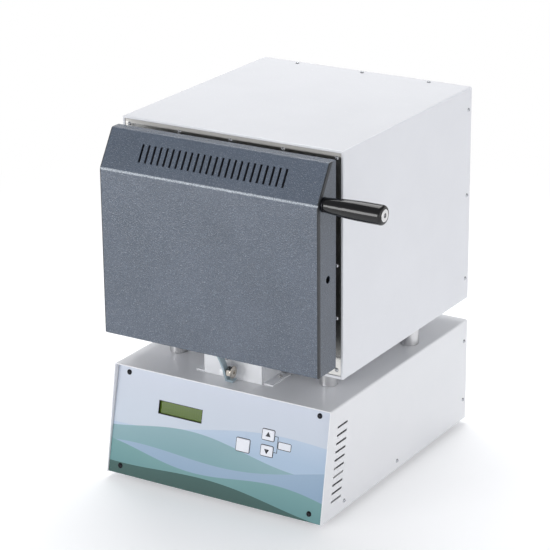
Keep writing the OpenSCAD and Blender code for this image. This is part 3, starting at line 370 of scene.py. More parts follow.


# Door cover
# A shallow tray of 1.5 mm steel with a slanting top, in slate hammered enamel. Painted
# shade darkens its sides and upright folds, and a painted highlight lightens the bend
# under the slant. Slots in the slant let warm air out, and the arm enters from below.
door_low, door_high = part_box("door_cover")
bend_z, slant_back = door_high.z - 48 * MM, door_low.y + 29.5 * MM
bend_middle = Vector((0, door_low.y, bend_z))
slant_run = Vector((0, slant_back - door_low.y, door_high.z - bend_z)).normalized()
slant_out = Vector((0, -slant_run.z, slant_run.y))

slate = blank("slate_hammered_enamel")
place = add(slate, "TexCoord").outputs["Object"]
spot = add(slate, "SeparateXYZ", {"Vector": place}).outputs
beaten = add(slate, "TexVoronoi", {"Vector": place, "Scale": 780.0, "Smoothness": 0.6},
    feature="SMOOTH_F1").outputs["Distance"]
flecks = add(slate, "TexNoise", {"Vector": place, "Scale": 1000.0, "Detail": 2.0,
    "Roughness": 0.6}).outputs["Fac"]
drift = add(slate, "TexNoise", {"Vector": place, "Scale": 14.0, "Detail": 3.0}).outputs["Fac"]
ground = add(slate, "ValToRGB", {"Fac": drift})
for stop, position, colour in zip(ground.color_ramp.elements, (0.3, 0.7), ("#4d5765", "#555f6e")):
    stop.position = position
    stop.color = linear(colour)
spark = add(slate, "ValToRGB", {"Fac": flecks})
for stop, position, level in zip(spark.color_ramp.elements, (0.55, 0.72), (0.0, 1.0)):
    stop.position = position
    stop.color = (level, level, level, 1.0)
share = add(slate, "Math", {0: spark.outputs["Color"], 1: 0.75}, operation="MULTIPLY").outputs[0]
tone = add(slate, "Mix", {0: share, 6: ground.outputs["Color"], 7: linear("#8b97a6")},
    data_type="RGBA").outputs[2]
# Painted shade: the side faces and the upright folds are darkened, most near the front and the slant.
from_middle = add(slate, "Math", {0: spot["X"]}, operation="ABSOLUTE").outputs[0]
at_side = add(slate, "MapRange", {"Value": from_middle, 1: door_high.x - 2.0 * MM,
    2: door_high.x - 1.0 * MM}).outputs[0]
# How far a point lies outside the planes of the front and of the slant
past_front = add(slate, "Math", {0: door_low.y, 1: spot["Y"]}, operation="SUBTRACT").outputs[0]
outward = add(slate, "VectorMath", {0: place, 1: slant_out}, operation="DOT_PRODUCT")
past_slant = add(slate, "Math", {0: outward.outputs["Value"], 1: bend_middle.dot(slant_out)},
    operation="SUBTRACT").outputs[0]
nearer = add(slate, "Math", {0: past_front, 1: past_slant}, operation="MAXIMUM").outputs[0]
at_front = add(slate, "MapRange", {"Value": nearer, 1: -6.5 * MM, 2: -5.0 * MM, 3: 0.3,
    4: 0.95}).outputs[0]
painted_side_shade = add(slate, "Math", {0: at_side, 1: at_front}, operation="MULTIPLY").outputs[0]
tone = add(slate, "Mix", {0: painted_side_shade, 6: tone, 7: linear("#10151b")},
    data_type="RGBA").outputs[2]
# Painted highlight: a pale line along the bend between front and slant, broken up by the flecks.
further = add(slate, "Math", {0: past_front, 1: past_slant}, operation="MINIMUM").outputs[0]
at_bend = add(slate, "MapRange", {"Value": further, 1: -1.1 * MM, 2: -0.5 * MM}).outputs[0]
glint = add(slate, "MapRange", {"Value": flecks, 1: 0.38, 2: 0.6, 3: 0.1, 4: 1.0}).outputs[0]
pale = add(slate, "Math", {0: at_bend, 1: glint}, operation="MULTIPLY").outputs[0]
tone = add(slate, "Mix", {0: pale, 6: tone, 7: linear("#d3dbe3")}, data_type="RGBA").outputs[2]
sheen = add(slate, "MapRange", {"Value": flecks, 3: 0.18, 4: 0.32}).outputs[0]
sheen = add(slate, "Math", {0: painted_side_shade, 1: 0.3, 2: sheen}, operation="MULTIPLY_ADD").outputs[0]
hollow = add(slate, "Bump", {"Height": beaten, "Strength": 0.6, "Distance": 0.7 * MM})
enamel = add(slate, "BsdfPrincipled", {"Base Color": tone, "Roughness": sheen, "IOR": 1.6,
    "Normal": hollow.outputs[0]})
surface(slate, enamel.outputs[0])

tray = box_shape(door_low, door_high)
bmesh.ops.bisect_plane(tray, geom=tray.verts[:] + tray.edges[:] + tray.faces[:], dist=1e-7,
    plane_co=bend_middle, plane_no=slant_out, clear_outer=True)
bmesh.ops.holes_fill(tray, edges=[e for e in tray.edges if e.is_boundary])
bmesh.ops.delete(tray, geom=faces_towards(tray, (0, 1, 0)), context="FACES")
fold(tray, [e for e in tray.edges if not e.is_boundary
    and abs(e.verts[0].co.x - e.verts[1].co.x) > door_high.x], bend_r, 6)
tray.normal_update()
fold(tray, [e for e in tray.edges if not e.is_boundary and e.calc_face_angle() > steep],
    0.9 * MM, 3)
vents, vent_pitch, vent_w, vent_l, vent_drop = 24, 9.3 * MM, 3.3 * MM, 24.6 * MM, 28.3 * MM
for vent in range(vents):
    across = (vent - (vents - 1) / 2) * vent_pitch
    middle = Vector((across, slant_back, door_high.z)) - slant_run * vent_drop
    punch(tray, middle, (1, 0, 0), slant_run, vent_w, vent_l)
hole_d, hole_inset, hole_rise = 10 * MM, 19.3 * MM, 125.1 * MM
for side in (-1, 1):
    middle = (side * door_high.x, door_high.y - hole_inset, door_low.z + hole_rise)
    punch(tray, middle, (0, side, 0), (0, 0, 1), hole_d, hole_d, rounded=True)
arm_slot_y, arm_slot_w, arm_slot_l = -182.8 * MM, 5 * MM, 17 * MM
punch(tray, (0, arm_slot_y, door_low.z), (1, 0, 0), (0, -1, 0), arm_slot_w, arm_slot_l)
bmesh.ops.recalc_face_normals(tray, faces=tray.faces)
door_cover = piece(tray, "door_cover_folded", "door", slate, ["door_cover"])
sheet(door_cover, 1.5 * MM, 0.3 * MM)


# Stainless sheet
# Cold-rolled stainless steel with a fine grain left by the belt, drawn out along
# the sheet. The front panel is drawn dull near its top, as the photograph shows it.
def stainless(name, colour, grain_axis, rough, top=None):
    """Brushed stainless steel whose grain runs along one axis, dull close to a top edge."""
    steel = blank(name)
    place = add(steel, "TexCoord").outputs["Object"]
    stretch = [700.0, 700.0, 700.0]
    stretch[grain_axis] = 12.0
    drawn = add(steel, "Mapping", {"Vector": place, "Scale": stretch}).outputs[0]
    grain = add(steel, "TexNoise", {"Vector": drawn, "Scale": 1.0, "Detail": 3.0,
        "Roughness": 0.6}).outputs["Fac"]
    sheen = add(steel, "MapRange", {"Value": grain, 3: rough - 0.06, 4: rough + 0.08}).outputs[0]
    if top is not None:
        level = add(steel, "SeparateXYZ", {"Vector": place}).outputs["Z"]
        dull = add(steel, "MapRange", {"Value": level, 1: top - 5.5 * MM, 2: top - 2 * MM,
            4: 0.5}).outputs[0]
        sheen = add(steel, "Math", {0: sheen, 1: dull}, operation="ADD").outputs[0]
    line = add(steel, "Bump", {"Height": grain, "Strength": 0.06, "Distance": 0.2 * MM})
    brushed = add(steel, "BsdfPrincipled", {"Base Color": linear(colour), "Metallic": 1.0,
        "Roughness": sheen, "Normal": line.outputs[0]})
    surface(steel, brushed.outputs[0])
    return steel


sheet_steel = stainless("stainless_front_sheet", "#d6d5d2", 0, 0.22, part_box("front_panel")[1].z)
pan_steel = stainless("stainless_door_pan", "#bfc1c4", 2, 0.3)
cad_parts["front_panel"].data.materials.clear()
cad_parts["front_panel"].data.materials.append(sheet_steel)


# Fasteners and turned metal
# Plated, polished and blackened screws, posts and bolts. Each is a merged copy of its
# solid, and most have broken edges, so that a rim catches a line of light.
def merged(node):
    """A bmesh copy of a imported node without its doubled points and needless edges."""
    shape = bmesh.new()
    shape.from_mesh(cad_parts[node].data)
    bmesh.ops.remove_doubles(shape, verts=shape.verts, dist=2e-6)
    bmesh.ops.dissolve_limit(shape, angle_limit=radians(0.4), verts=shape.verts, edges=shape.edges)
    return shape


def dressed(node, body, material, edge=0.0, angle=30.0):
    """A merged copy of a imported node, with edges broken by a width, which stands for it."""
    item = piece(merged(node), node + "_finished", body, material, [node], angle)
    if edge:
        break_edges(item, edge, 40)
    keep_flat(item)
    return item


def metal(name, colour, tint, rough, swing, grain_mm, depth):
    """Bare or plated metal with a fine uneven sheen; grain_mm is the size of its grain."""
    stuff = blank(name)
    place = add(stuff, "TexCoord").outputs["Object"]
    grain = add(stuff, "TexNoise", {"Vector": place, "Scale": 1000.0 / grain_mm, "Detail": 3.0,
        "Roughness": 0.6}).outputs["Fac"]
    cloud = add(stuff, "TexNoise", {"Vector": place, "Scale": 90.0, "Detail": 2.0}).outputs["Fac"]
    tone = add(stuff, "Mix", {0: cloud, 6: linear(colour), 7: linear(tint)}, data_type="RGBA")
    sheen = add(stuff, "MapRange", {"Value": grain, 3: rough - swing, 4: rough + swing})
    pits = add(stuff, "Bump", {"Height": grain, "Strength": depth, "Distance": 0.2 * MM})
    skin = add(stuff, "BsdfPrincipled", {"Base Color": tone.outputs[2], "Metallic": 1.0,
        "Roughness": sheen.outputs[0], "Normal": pits.outputs[0]})
    surface(stuff, skin.outputs[0])
    return stuff


zinc_bright = metal("zinc_plated_bright", "#b9bcc2", "#c9cbcf", 0.26, 0.08, 0.5, 0.12)
turned_steel = metal("turned_steel_satin", "#cfcfd1", "#d2d2d3", 0.34, 0.06, 0.35, 0.1)
polished_nut = metal("polished_nut_steel", "#b5aea5", "#c2bcb4", 0.15, 0.05, 0.6, 0.05)
chrome = metal("polished_chromed_steel", "#d6d6d8", "#dededf", 0.09, 0.03, 0.6, 0.03)
nickel_screw = metal("nickel_plated_screw", "#dcdad6", "#e4e3e0", 0.42, 0.06, 0.5, 0.1)
black_oxide = metal("blackened_screw_steel", "#2b2b2e", "#37373b", 0.34, 0.08, 0.5, 0.15)
for node in ("front_panel_screws", "housing_cover_screws", "base_screws", "foot_screws"):
    dressed(node, "furnace", zinc_bright, 0.15 * MM)
dressed("bracket_screws", "furnace", nickel_screw, 0.15 * MM)
dressed("standoffs", "furnace", turned_steel)
dressed("standoff_bolts", "furnace", zinc_bright)
dressed("wiring_duct", "furnace", turned_steel, 0.4 * MM)
dressed("pivot_bolt", "furnace", polished_nut, 0.2 * MM)
dressed("pivot_nut", "furnace", polished_nut, 0.2 * MM)
dressed("arm_screws", "door", zinc_bright, 0.15 * MM)
dressed("panel_screws", "furnace", black_oxide, 0.15 * MM)


# Hinge bracket
# A hat-shaped channel of 2 mm steel between base and housing, in glossy white powder
# painted lighter than the base's. Its feet are screwed down and an ear at its front holds the pivot.
dressed("hinge_bracket", "furnace", bracket_coat_painted_light, 0.5 * MM)


# Control panel
# A 2 mm plate behind a printed polyester film. The film has a matt grain and a
# generic print of five layered waves in pale blue and teal.
panel_lean = radians(12.793)


def panel_axes(material):
    """The place on the object, and the millimetres across and up the leaning panel."""
    place = add(material, "TexCoord").outputs["Object"]
    spot = add(material, "SeparateXYZ", {"Vector": place}).outputs
    level = add(material, "Math", {0: spot["Z"], 1: -base_low.z}, operation="ADD").outputs[0]
    across = add(material, "Math", {0: spot["X"], 1: MM}, operation="DIVIDE").outputs[0]
    upward = add(material, "Math", {0: level, 1: cos(panel_lean) * MM}, operation="DIVIDE").outputs[0]
    return place, across, upward


film = blank("printed_polyester_film")
place, run, rise = panel_axes(film)
paling = add(film, "MapRange", {"Value": rise, 1: 60.0, 2: 150.0}).outputs[0]
ground = add(film, "ValToRGB", {"Fac": paling})
ground.color_ramp.elements[0].color = linear("#c6d0dc")
ground.color_ramp.elements[1].color = linear("#cdd3df")
layer = ground.outputs["Color"]
# Each wave: mean height and swing in mm, length in mm, phase, slope, lower and upper colour
waves = ((88.0, 9.0, 410.0, 0.4, 0.06, "#a9bfd6", "#b7c8dc"),
    (70.0, 10.0, 330.0, 2.3, -0.02, "#7ba2a9", "#87aab1"),
    (50.0, 9.0, 380.0, 4.1, 0.08, "#8ba6c0", "#94adc5"),
    (33.0, 8.0, 290.0, 5.6, -0.04, "#5f9092", "#6d9b9c"),
    (15.0, 6.5, 350.0, 1.5, -0.05, "#1c4945", "#24544f"))
for mean, swing, length, phase, slope, low_ink, high_ink in waves:
    turn = add(film, "Math", {0: run, 1: 2 * pi / length, 2: phase}, operation="MULTIPLY_ADD")
    bow = add(film, "Math", {0: turn.outputs[0]}, operation="SINE")
    crest = add(film, "Math", {0: bow.outputs[0], 1: swing, 2: mean}, operation="MULTIPLY_ADD")
    tilt = add(film, "Math", {0: run, 1: slope, 2: crest.outputs[0]}, operation="MULTIPLY_ADD")
    under = add(film, "Math", {0: tilt.outputs[0], 1: rise}, operation="SUBTRACT").outputs[0]
    mask = add(film, "MapRange", {"Value": under, 1: -0.15, 2: 0.15}).outputs[0]
    deep = add(film, "MapRange", {"Value": under, 1: 0.0, 2: 30.0}).outputs[0]
    ink = add(film, "Mix", {0: deep, 6: linear(high_ink), 7: linear(low_ink)}, data_type="RGBA")
    layer = add(film, "Mix", {0: mask, 6: layer, 7: ink.outputs[2]}, data_type="RGBA").outputs[2]
grain = add(film, "TexNoise", {"Vector": place, "Scale": 1600.0, "Detail": 2.0}).outputs["Fac"]
matt = add(film, "MapRange", {"Value": grain, 3: 0.4, 4: 0.52}).outputs[0]
tooth = add(film, "Bump", {"Height": grain, "Strength": 0.08, "Distance": 0.1 * MM}).outputs[0]
printed = add(film, "BsdfPrincipled", {"Base Color": layer, "Roughness": matt, "IOR": 1.5,
    "Normal": tooth})
surface(film, printed.outputs[0])
dressed("panel_film", "furnace", film, 0.15 * MM)
dressed("panel_plate", "furnace", white_coat)


# Frame lines on the panel
# Dark ink printed on the film: a border round each key, and a bare field joined to
# the two arrow keys by a thin bracket.
panel_foot = Vector((0, base_low.y + 1 * MM, base_low.z))
to_panel = Matrix.Translation(panel_foot) @ Matrix.Rotation(radians(90) - panel_lean, 4, "X")


def plain(name, colour, tint, rough, swing=0.05, grain_mm=0.6, depth=0.08):
    """Moulded, printed or painted stuff of nearly one tone with a fine uneven sheen."""
    stuff = blank(name)
    place = add(stuff, "TexCoord").outputs["Object"]
    grain = add(stuff, "TexNoise", {"Vector": place, "Scale": 1000.0 / grain_mm,
        "Detail": 3.0}).outputs["Fac"]
    drift = add(stuff, "TexNoise", {"Vector": place, "Scale": 60.0, "Detail": 2.0}).outputs["Fac"]
    tone = add(stuff, "Mix", {0: drift, 6: linear(colour), 7: linear(tint)}, data_type="RGBA")
    sheen = add(stuff, "MapRange", {"Value": grain, 3: rough - swing, 4: rough + swing})
    pits = add(stuff, "Bump", {"Height": grain, "Strength": depth, "Distance": 0.2 * MM})
    skin = add(stuff, "BsdfPrincipled", {"Base Color": tone.outputs[2], "IOR": 1.5,
        "Roughness": sheen.outputs[0], "Normal": pits.outputs[0]})
    surface(stuff, skin.outputs[0])
    return stuff


def plate_shape(width, height, bottom, top, radius=0.0):
    """A plate on the panel's own axes, with rounded corners."""
    shape = box_shape((-width / 2, -height / 2, bottom), (width / 2, height / 2, top))
    if radius:
        upright = [e for e in shape.edges if abs(e.verts[0].co.z - e.verts[1].co.z) > NEAR]
        fold(shape, upright, radius, 5)
    return shape


def put_on_panel(shape, x, v):
    """Moves a shape from the panel's own axes to its place on the leaning panel."""
    bmesh.ops.transform(shape, matrix=to_panel @ Matrix.Translation((x, v, 0)), verts=shape.verts)


ink_black = plain("dark_screen_ink", "#2d2f36", "#34363d", 0.45)
field_white = plain("white_screen_ink", "#e3e6ee", "#e9ebf1", 0.42)
border_w, ink_t = 0.9 * MM, 0.06 * MM


def frame_line(name, x, v, width, height, radius):
    """A printed border of constant width round a field."""
    shape = plate_shape(width, height, 0, ink_t, radius)
    bmesh.ops.inset_region(shape, faces=faces_towards(shape, (0, 0, 1)), thickness=border_w,
        use_even_offset=True)
    middle = max(faces_towards(shape, (0, 0, 1)), key=lambda f: f.calc_area())
    bottom = max(faces_towards(shape, (0, 0, -1)), key=lambda f: f.calc_area())
    bmesh.ops.delete(shape, geom=[middle, bottom], context="FACES")
    put_on_panel(shape, x, v)
    return piece(shape, name, "furnace", ink_black)


# Each key: node, body, its middle across and up the panel, width and height, in mm
keys = (("key_enter", "enter_key", 39.3, 79.6, 19.7, 16.9),
    ("key_up", "up_key", 75.6, 100.8, 17.6, 13.6),
    ("key_down", "down_key", 75.6, 79.6, 17.6, 13.6))
margin = 2.2
for node, body, x, v, width, height in keys:
    frame_line(node + "_border", x * MM, v * MM, (width + margin) * MM, (height + margin) * MM,
        2.4 * MM)
field_x, field_v, field_w, field_h = 101 * MM, 90.2 * MM, 18.8 * MM, 9.2 * MM
field = plate_shape(field_w, field_h, 0.01 * MM, 0.05 * MM, 1.4 * MM)
put_on_panel(field, field_x, field_v)
piece(field, "bare_field", "furnace", field_white)
frame_line("bare_field_border", field_x, field_v, field_w + 1.4 * MM, field_h + 1.4 * MM, 1.9 * MM)
# Each line: name, its low and its high corner on the panel, in mm
bracket_lines = (("bracket_line_upright", (89.9, 79.2), (90.8, 101.2)),
    ("bracket_line_upper", (85.6, 100.4), (90.0, 101.2)),
    ("bracket_line_lower", (85.6, 79.2), (90.0, 80.0)))
for name, low, high in bracket_lines:
    line = plate_shape((high[0] - low[0]) * MM, (high[1] - low[1]) * MM, 0, ink_t)
    put_on_panel(line, (low[0] + high[0]) / 2 * MM, (low[1] + high[1]) / 2 * MM)
    piece(line, name, "furnace", ink_black)


# Keys
# Three caps moulded in white plastic, with rounded rims, that stand proud of the
# film. The arrow keys carry a printed triangle and the third is left plain.
key_white = plain("white_moulded_plastic", "#e6e8ef", "#eceef4", 0.36)
mark_r, mark_level = 4.3 * MM, 1.03 * MM
for node, body, x, v, width, height in keys:
    dressed(node, body, key_white, 0.3 * MM, 25)
    if node == "key_enter":
        continue
    mark = bmesh.new()
    bmesh.ops.create_circle(mark, cap_ends=True, segments=3, radius=mark_r)
    if node == "key_down":
        bmesh.ops.rotate(mark, cent=(0, 0, 0), matrix=Matrix.Rotation(pi, 3, "Z"), verts=mark.verts)
    bmesh.ops.translate(mark, vec=(0, 0, mark_level), verts=mark.verts)
    put_on_panel(mark, x * MM, v * MM)
    arrow = piece(mark, node + "_arrow", body, ink_black)
    ink = arrow.modifiers.new("ink", "SOLIDIFY")
    ink.thickness = ink_t
    ink.offset = -1.0


# Display
# A character display seen through the panel's window: olive glass with a faint grid
# of cells, 2 rows by 16, in a black frame. A black liner goes round the window.
cell_glass = blank("character_display_glass")
place, run, rise = panel_axes(cell_glass)
lines = []
# Each direction: where the cells start and their pitch in mm, their number, the share they fill
for along, start, pitch, cells, share in ((run, -91.0, 3.7, 16, 0.85), (rise, 97.1, 6.0, 2, 0.92)):
    steps = add(cell_glass, "Math", {0: along, 1: -start}, operation="ADD").outputs[0]
    count = add(cell_glass, "Math", {0: steps, 1: pitch}, operation="DIVIDE").outputs[0]
    part = add(cell_glass, "Math", {0: count}, operation="FRACT").outputs[0]
    filled = add(cell_glass, "Math", {0: part, 1: share}, operation="LESS_THAN").outputs[0]
    begun = add(cell_glass, "Math", {0: count, 1: 0.0}, operation="GREATER_THAN").outputs[0]
    unended = add(cell_glass, "Math", {0: count, 1: float(cells)}, operation="LESS_THAN").outputs[0]
    within = add(cell_glass, "Math", {0: begun, 1: unended}, operation="MULTIPLY").outputs[0]
    line = add(cell_glass, "Math", {0: within, 1: filled}, operation="MULTIPLY").outputs[0]
    lines.append(line)
cell = add(cell_glass, "Math", {0: lines[0], 1: lines[1]}, operation="MULTIPLY").outputs[0]
faint = add(cell_glass, "Math", {0: cell, 1: 0.5}, operation="MULTIPLY").outputs[0]
cloud = add(cell_glass, "TexNoise", {"Vector": place, "Scale": 45.0, "Detail": 1.0}).outputs["Fac"]
olive = add(cell_glass, "Mix", {0: cloud, 6: linear("#516a1b"), 7: linear("#5f782a")},
    data_type="RGBA").outputs[2]
grid = add(cell_glass, "Mix", {0: faint, 6: olive, 7: linear("#4d6420")}, data_type="RGBA")
pane = add(cell_glass, "BsdfPrincipled", {"Base Color": grid.outputs[2], "Roughness": 0.12,
    "IOR": 1.38})
surface(cell_glass, pane.outputs[0])
dressed("display_glass", "furnace", cell_glass)

frame_black = plain("black_moulded_housing", "#18181a", "#202022", 0.5, 0.06, 0.5, 0.15)
dressed("display_module", "furnace", frame_black)
window_x, window_v, window_w, window_h = -61.4 * MM, 103.6 * MM, 68.7 * MM, 18.5 * MM
liner = plate_shape(window_w, window_h, -2.5 * MM, -0.03 * MM)
bmesh.ops.delete(liner, geom=faces_towards(liner, (0, 0, 1)) + faces_towards(liner, (0, 0, -1)),
    context="FACES")
put_on_panel(liner, window_x, window_v)
window_liner = piece(liner, "display_window_liner", "furnace", frame_black)
sheet(window_liner, 0.7 * MM)


# Control board
# Green glass-fibre laminate behind the panel, on four plated spacers. It carries the
# key switches and faces the back of the panel.
laminate = plain("green_board_laminate", "#1f5a36", "#266640", 0.36, 0.05, 0.8, 0.1)
dressed("control_board", "furnace", laminate)
dressed("board_spacers", "furnace", zinc_bright)
dressed("panel_rails", "furnace", zinc_bright)


# Base tray and rear panel
# Folded 1.5 mm steel in the satin white coat. The tray carries the electric parts,
# and the lowest side slots go through its lips too. The rear panel is louvred.
floor_tray = merged("base_tray")
depth, level = slot_middle(slot_rows - 1)
for lip_face in (-165.5 * MM, -164.0 * MM, 164.0 * MM, 165.5 * MM):
    punch(floor_tray, (lip_face, depth, level), (0, 1, 0), (0, 0, 1), slot_l, slot_w)
piece(floor_tray, "base_tray_finished", "furnace", white_coat, ["base_tray"])
dressed("base_rear_panel", "furnace", white_coat)


# Rubber feet
# Four moulded black rubber feet, matt and a little dusty, each held by a screw up
# through the tray.
rubber = plain("black_moulded_rubber", "#1b1b1c", "#262627", 0.72, 0.08, 0.4, 0.3)
dressed("feet", "furnace", rubber, 0.6 * MM)


# Mains inlet and power switch
# An appliance inlet with three nickel-plated blades and a rocker switch, both of
# matt black thermoplastic, clipped and screwed into the rear panel.
dressed("mains_inlet", "furnace", frame_black, 0.4 * MM)
nickel_blade = metal("nickel_plated_blades", "#b8b3a6", "#c6c1b5", 0.2, 0.06, 0.5, 0.08)
dressed("inlet_pins", "furnace", nickel_blade, 0.3 * MM)
dressed("switch_frame", "furnace", frame_black, 0.4 * MM)
rocker_black = plain("black_rocker_plastic", "#222224", "#29292b", 0.3, 0.05, 0.5, 0.06)
dressed("switch_rocker", "rocker", rocker_black, 0.2 * MM)


# Power parts in the base
# A mains transformer with a stamped core and a taped winding, a solid-state relay on
# an extruded heat sink, and a terminal strip. All stand on the tray.
core = blank("transformer_core_and_tape")
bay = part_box("transformer")
half_stack, lamination = 16.2 * MM, 0.5 * MM
place = add(core, "TexCoord").outputs["Object"]
depth = add(core, "SeparateXYZ", {"Vector": place}).outputs["Y"]
middle = (bay[0].y + bay[1].y) / 2
offset = add(core, "Math", {0: depth, 1: -middle}, operation="ADD").outputs[0]
reach = add(core, "Math", {0: offset}, operation="ABSOLUTE").outputs[0]
taped = add(core, "Math", {0: reach, 1: half_stack}, operation="GREATER_THAN").outputs[0]
phase = add(core, "Math", {0: depth, 1: 2 * pi / lamination}, operation="MULTIPLY").outputs[0]
layers = add(core, "Math", {0: phase}, operation="SINE").outputs[0]
stack = add(core, "MapRange", {"Value": layers, 1: -1.0, 2: 1.0}).outputs[0]
iron = add(core, "Mix", {0: stack, 6: linear("#3a3330"), 7: linear("#564c46")}, data_type="RGBA")
tone = add(core, "Mix", {0: taped, 6: iron.outputs[2], 7: linear("#c99a3b")}, data_type="RGBA")
bare_iron = add(core, "Math", {0: 1.0, 1: taped}, operation="SUBTRACT").outputs[0]
ridges = add(core, "Bump", {"Height": stack, "Strength": 0.3, "Distance": 0.2 * MM}).outputs[0]
skin = add(core, "BsdfPrincipled", {"Base Color": tone.outputs[2], "Metallic": bare_iron,
    "Roughness": 0.45, "Normal": ridges})
surface(core, skin.outputs[0])
dressed("transformer", "furnace", core, 0.5 * MM)
extruded = metal("extruded_aluminium", "#a9abae", "#b7b9bc", 0.38, 0.08, 0.9, 0.15)
dressed("relay_heatsink", "furnace", extruded)
cream = plain("cream_thermoplastic", "#d9d3c1", "#e2ddcd", 0.42, 0.05, 0.6, 0.08)
dressed("solid_state_relay", "furnace", cream, 0.5 * MM)
dressed("terminal_strip", "furnace", cream, 0.3 * MM)


# Housing floor and rear panel
# White coated steel again: a tray that the boards stand on, and a folded plate with
# two rows of slots and the opening for the fume pipe.
dressed("housing_floor", "furnace", white_coat)
dressed("housing_rear_panel", "furnace", white_coat)


# Insulation boards
# Vacuum-formed boards of ceramic fibre round the muffle and in the door, off-white
# and matt, with a soft felted surface that throws no highlight.
def felted(name, colour, tint, length_mm, depth):
    """Matt mineral stuff with short fibres or grains; length_mm is their size."""
    stuff = blank(name)
    place = add(stuff, "TexCoord").outputs["Object"]
    lay = add(stuff, "TexNoise", {"Vector": place, "Scale": 1000.0 / (length_mm * 6), "Detail": 2.0})
    bent = add(stuff, "VectorMath", {0: lay.outputs["Color"], 1: place}, operation="ADD")
    grain = add(stuff, "TexNoise", {"Vector": place, "Scale": 1000.0 / length_mm, "Detail": 5.0,
        "Roughness": 0.7, "Distortion": 1.5}).outputs["Fac"]
    specks = add(stuff, "TexVoronoi", {"Vector": bent.outputs[0], "Scale": 260.0 / length_mm})
    tone = add(stuff, "Mix", {0: grain, 6: linear(colour), 7: linear(tint)}, data_type="RGBA")
    sunk = add(stuff, "Math", {0: specks.outputs["Distance"], 1: 0.3, 2: grain},
        operation="MULTIPLY_ADD")
    nap = add(stuff, "Bump", {"Height": sunk.outputs[0], "Strength": depth, "Distance": 0.6 * MM})
    skin = add(stuff, "BsdfPrincipled", {"Base Color": tone.outputs[2], "Roughness": 0.9,
        "IOR": 1.45, "Normal": nap.outputs[0]})
    surface(stuff, skin.outputs[0])
    return stuff


fibre_board = felted("ceramic_fibre_board", "#e2dccb", "#efeadd", 1.6, 0.5)
for node in ("insulation_bottom", "insulation_roof", "insulation_sides", "insulation_back"):
    dressed(node, "furnace", fibre_board, 1.0 * MM)
dressed("door_insulation", "door", fibre_board, 1.5 * MM)


# Muffle and hearth
# Pressed and fired ceramic plates that form the chamber, with grooves for the coils,
# and a loose hearth tile. They are pale buff with a dry sandy grain.
fired_buff = felted("fired_buff_ceramic", "#cfc2ac", "#dccfba", 0.7, 0.3)
for node in ("muffle_floor", "muffle_roof", "muffle_sides", "muffle_back"):
    dressed(node, "furnace", fired_buff, 0.6 * MM)
hearth_white = felted("hearth_tile_cordierite", "#d8cfbf", "#e6dece", 0.5, 0.2)
dressed("hearth_tile", "furnace", hearth_white, 0.8 * MM)
dressed("thermocouple", "furnace", hearth_white, 0.3 * MM)


# Heating coils
# Resistance wire of 1.6 mm wound to open helices that lie in the side grooves. Its
# first firing leaves a dull brown-grey oxide, so it hardly shines.
oxide_wire = metal("oxidised_heating_alloy", "#5d524c", "#756a63", 0.6, 0.1, 0.4, 0.25)
coil_low, coil_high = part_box("heating_coils")
rows, turns, steps, wire_r, coil_r = 5, 40, 14, 0.8 * MM, 2.0 * MM
outer_r, end_gap = coil_r + wire_r, 1.1 * wire_r
pitch = (coil_high.y - coil_low.y - 2 * end_gap) / turns
row_step = (coil_high.z - coil_low.z - 2 * outer_r) / (rows - 1)
helix = bmesh.new()
ring = bmesh.ops.create_circle(helix, segments=6, radius=wire_r)["verts"]
bmesh.ops.translate(helix, vec=(coil_r, 0, 0), verts=ring)
edges = dict.fromkeys(e for v in ring for e in v.link_edges)
bmesh.ops.spin(helix, geom=[*ring, *edges], cent=(0, 0, 0), axis=(0, 1, 0),
    dvec=(0, pitch / steps, 0), angle=2 * pi * turns, steps=turns * steps)
one_coil = bpy.data.meshes.new("one_coil")
helix.to_mesh(one_coil)
helix.free()
wound = bmesh.new()
for side in (-1, 1):
    for row in range(rows):
        known = len(wound.verts)
        wound.from_mesh(one_coil)
        wound.verts.ensure_lookup_table()
        start = (side * (coil_high.x - outer_r), coil_low.y + end_gap,
            coil_low.z + outer_r + row * row_step)
        bmesh.ops.translate(wound, vec=start, verts=wound.verts[known:])
bpy.data.meshes.remove(one_coil)
bmesh.ops.recalc_face_normals(wound, faces=wound.faces)
piece(wound, "heating_coils_wound", "furnace", oxide_wire, ["heating_coils"], 80)


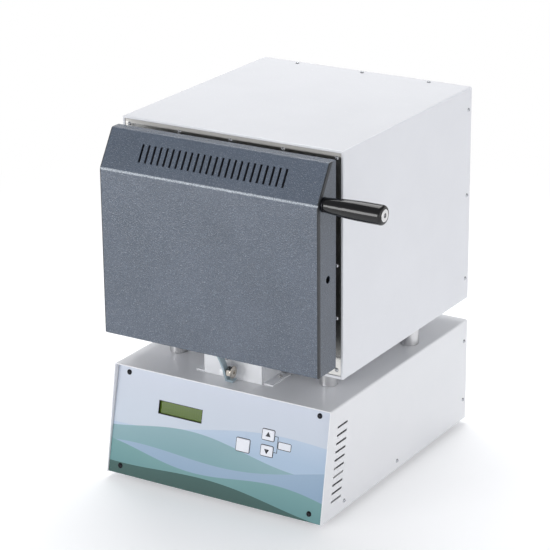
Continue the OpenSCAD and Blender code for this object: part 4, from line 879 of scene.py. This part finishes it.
# Fume outlet
# A 32 mm stainless pipe with a pressed rosette on the back. The heat of the fumes
# has left it straw-coloured towards the chamber.
tinted = blank("heat_tinted_pipe")
pipe_low, pipe_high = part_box("fume_outlet")
place = add(tinted, "TexCoord").outputs["Object"]
depth = add(tinted, "SeparateXYZ", {"Vector": place}).outputs["Y"]
heat = add(tinted, "MapRange", {"Value": depth, 1: pipe_low.y, 2: pipe_high.y}).outputs[0]
tint = add(tinted, "ValToRGB", {"Fac": heat})
tint.color_ramp.elements[0].color = linear("#8f7a5c")
tint.color_ramp.elements[1].color = linear("#bfc0c2")
grain = add(tinted, "TexNoise", {"Vector": place, "Scale": 1400.0, "Detail": 3.0}).outputs["Fac"]
sheen = add(tinted, "MapRange", {"Value": grain, 3: 0.2, 4: 0.34}).outputs[0]
skin = add(tinted, "BsdfPrincipled", {"Base Color": tint.outputs["Color"], "Metallic": 1.0,
    "Roughness": sheen})
surface(tinted, skin.outputs[0])
dressed("fume_outlet", "furnace", tinted, 0.2 * MM)


# Door arm
# A curved band of 3 mm steel with a folded stop foot. Its blue-passivated zinc is a
# dull, thick deposit that scatters light as a pale grey-blue paint does.
zinc_blue = plain("blue_passivated_zinc", "#8fa1ab", "#a3b3bb", 0.36, 0.08, 0.8, 0.15)
dressed("door_arm", "door", zinc_blue, 0.4 * MM)


# Door back, carrier and baffle
# The pan that closes the door's back is stainless sheet, brushed upright. The hat
# rail inside joins arm and cover, and a blackened baffle lies behind the slots.
dressed("door_back_plate", "door", pan_steel, 0.3 * MM)
dressed("door_carrier", "door", zinc_blue, 0.3 * MM)
baffle_gap, half_w, half_t, foot, head = 8 * MM, 118 * MM, 0.5 * MM, 5 * MM, 48 * MM
baffle = box_shape((-half_w, -half_t, foot), (half_w, half_t, head))
bmesh.ops.rotate(baffle, cent=(0, 0, 0), verts=baffle.verts,
    matrix=Matrix.Rotation(-atan2(slant_run.y, slant_run.z), 3, "X"))
bmesh.ops.translate(baffle, vec=bend_middle - slant_out * baffle_gap, verts=baffle.verts)
piece(baffle, "vent_baffle", "door", black_oxide)


# Handle
# A revolving grip of polished black phenolic on a steel spindle with a chromed
# socket head. A matt black collar keeps it off the door's side.
grip_black = plain("polished_black_phenolic", "#0f0f11", "#161618", 0.11, 0.03, 1.2, 0.02)
dressed("handle_grip", "grip", grip_black, angle=40)
dressed("handle_spindle", "door", chrome, 0.15 * MM)
dressed("handle_collar", "door", black_oxide, 0.3 * MM)
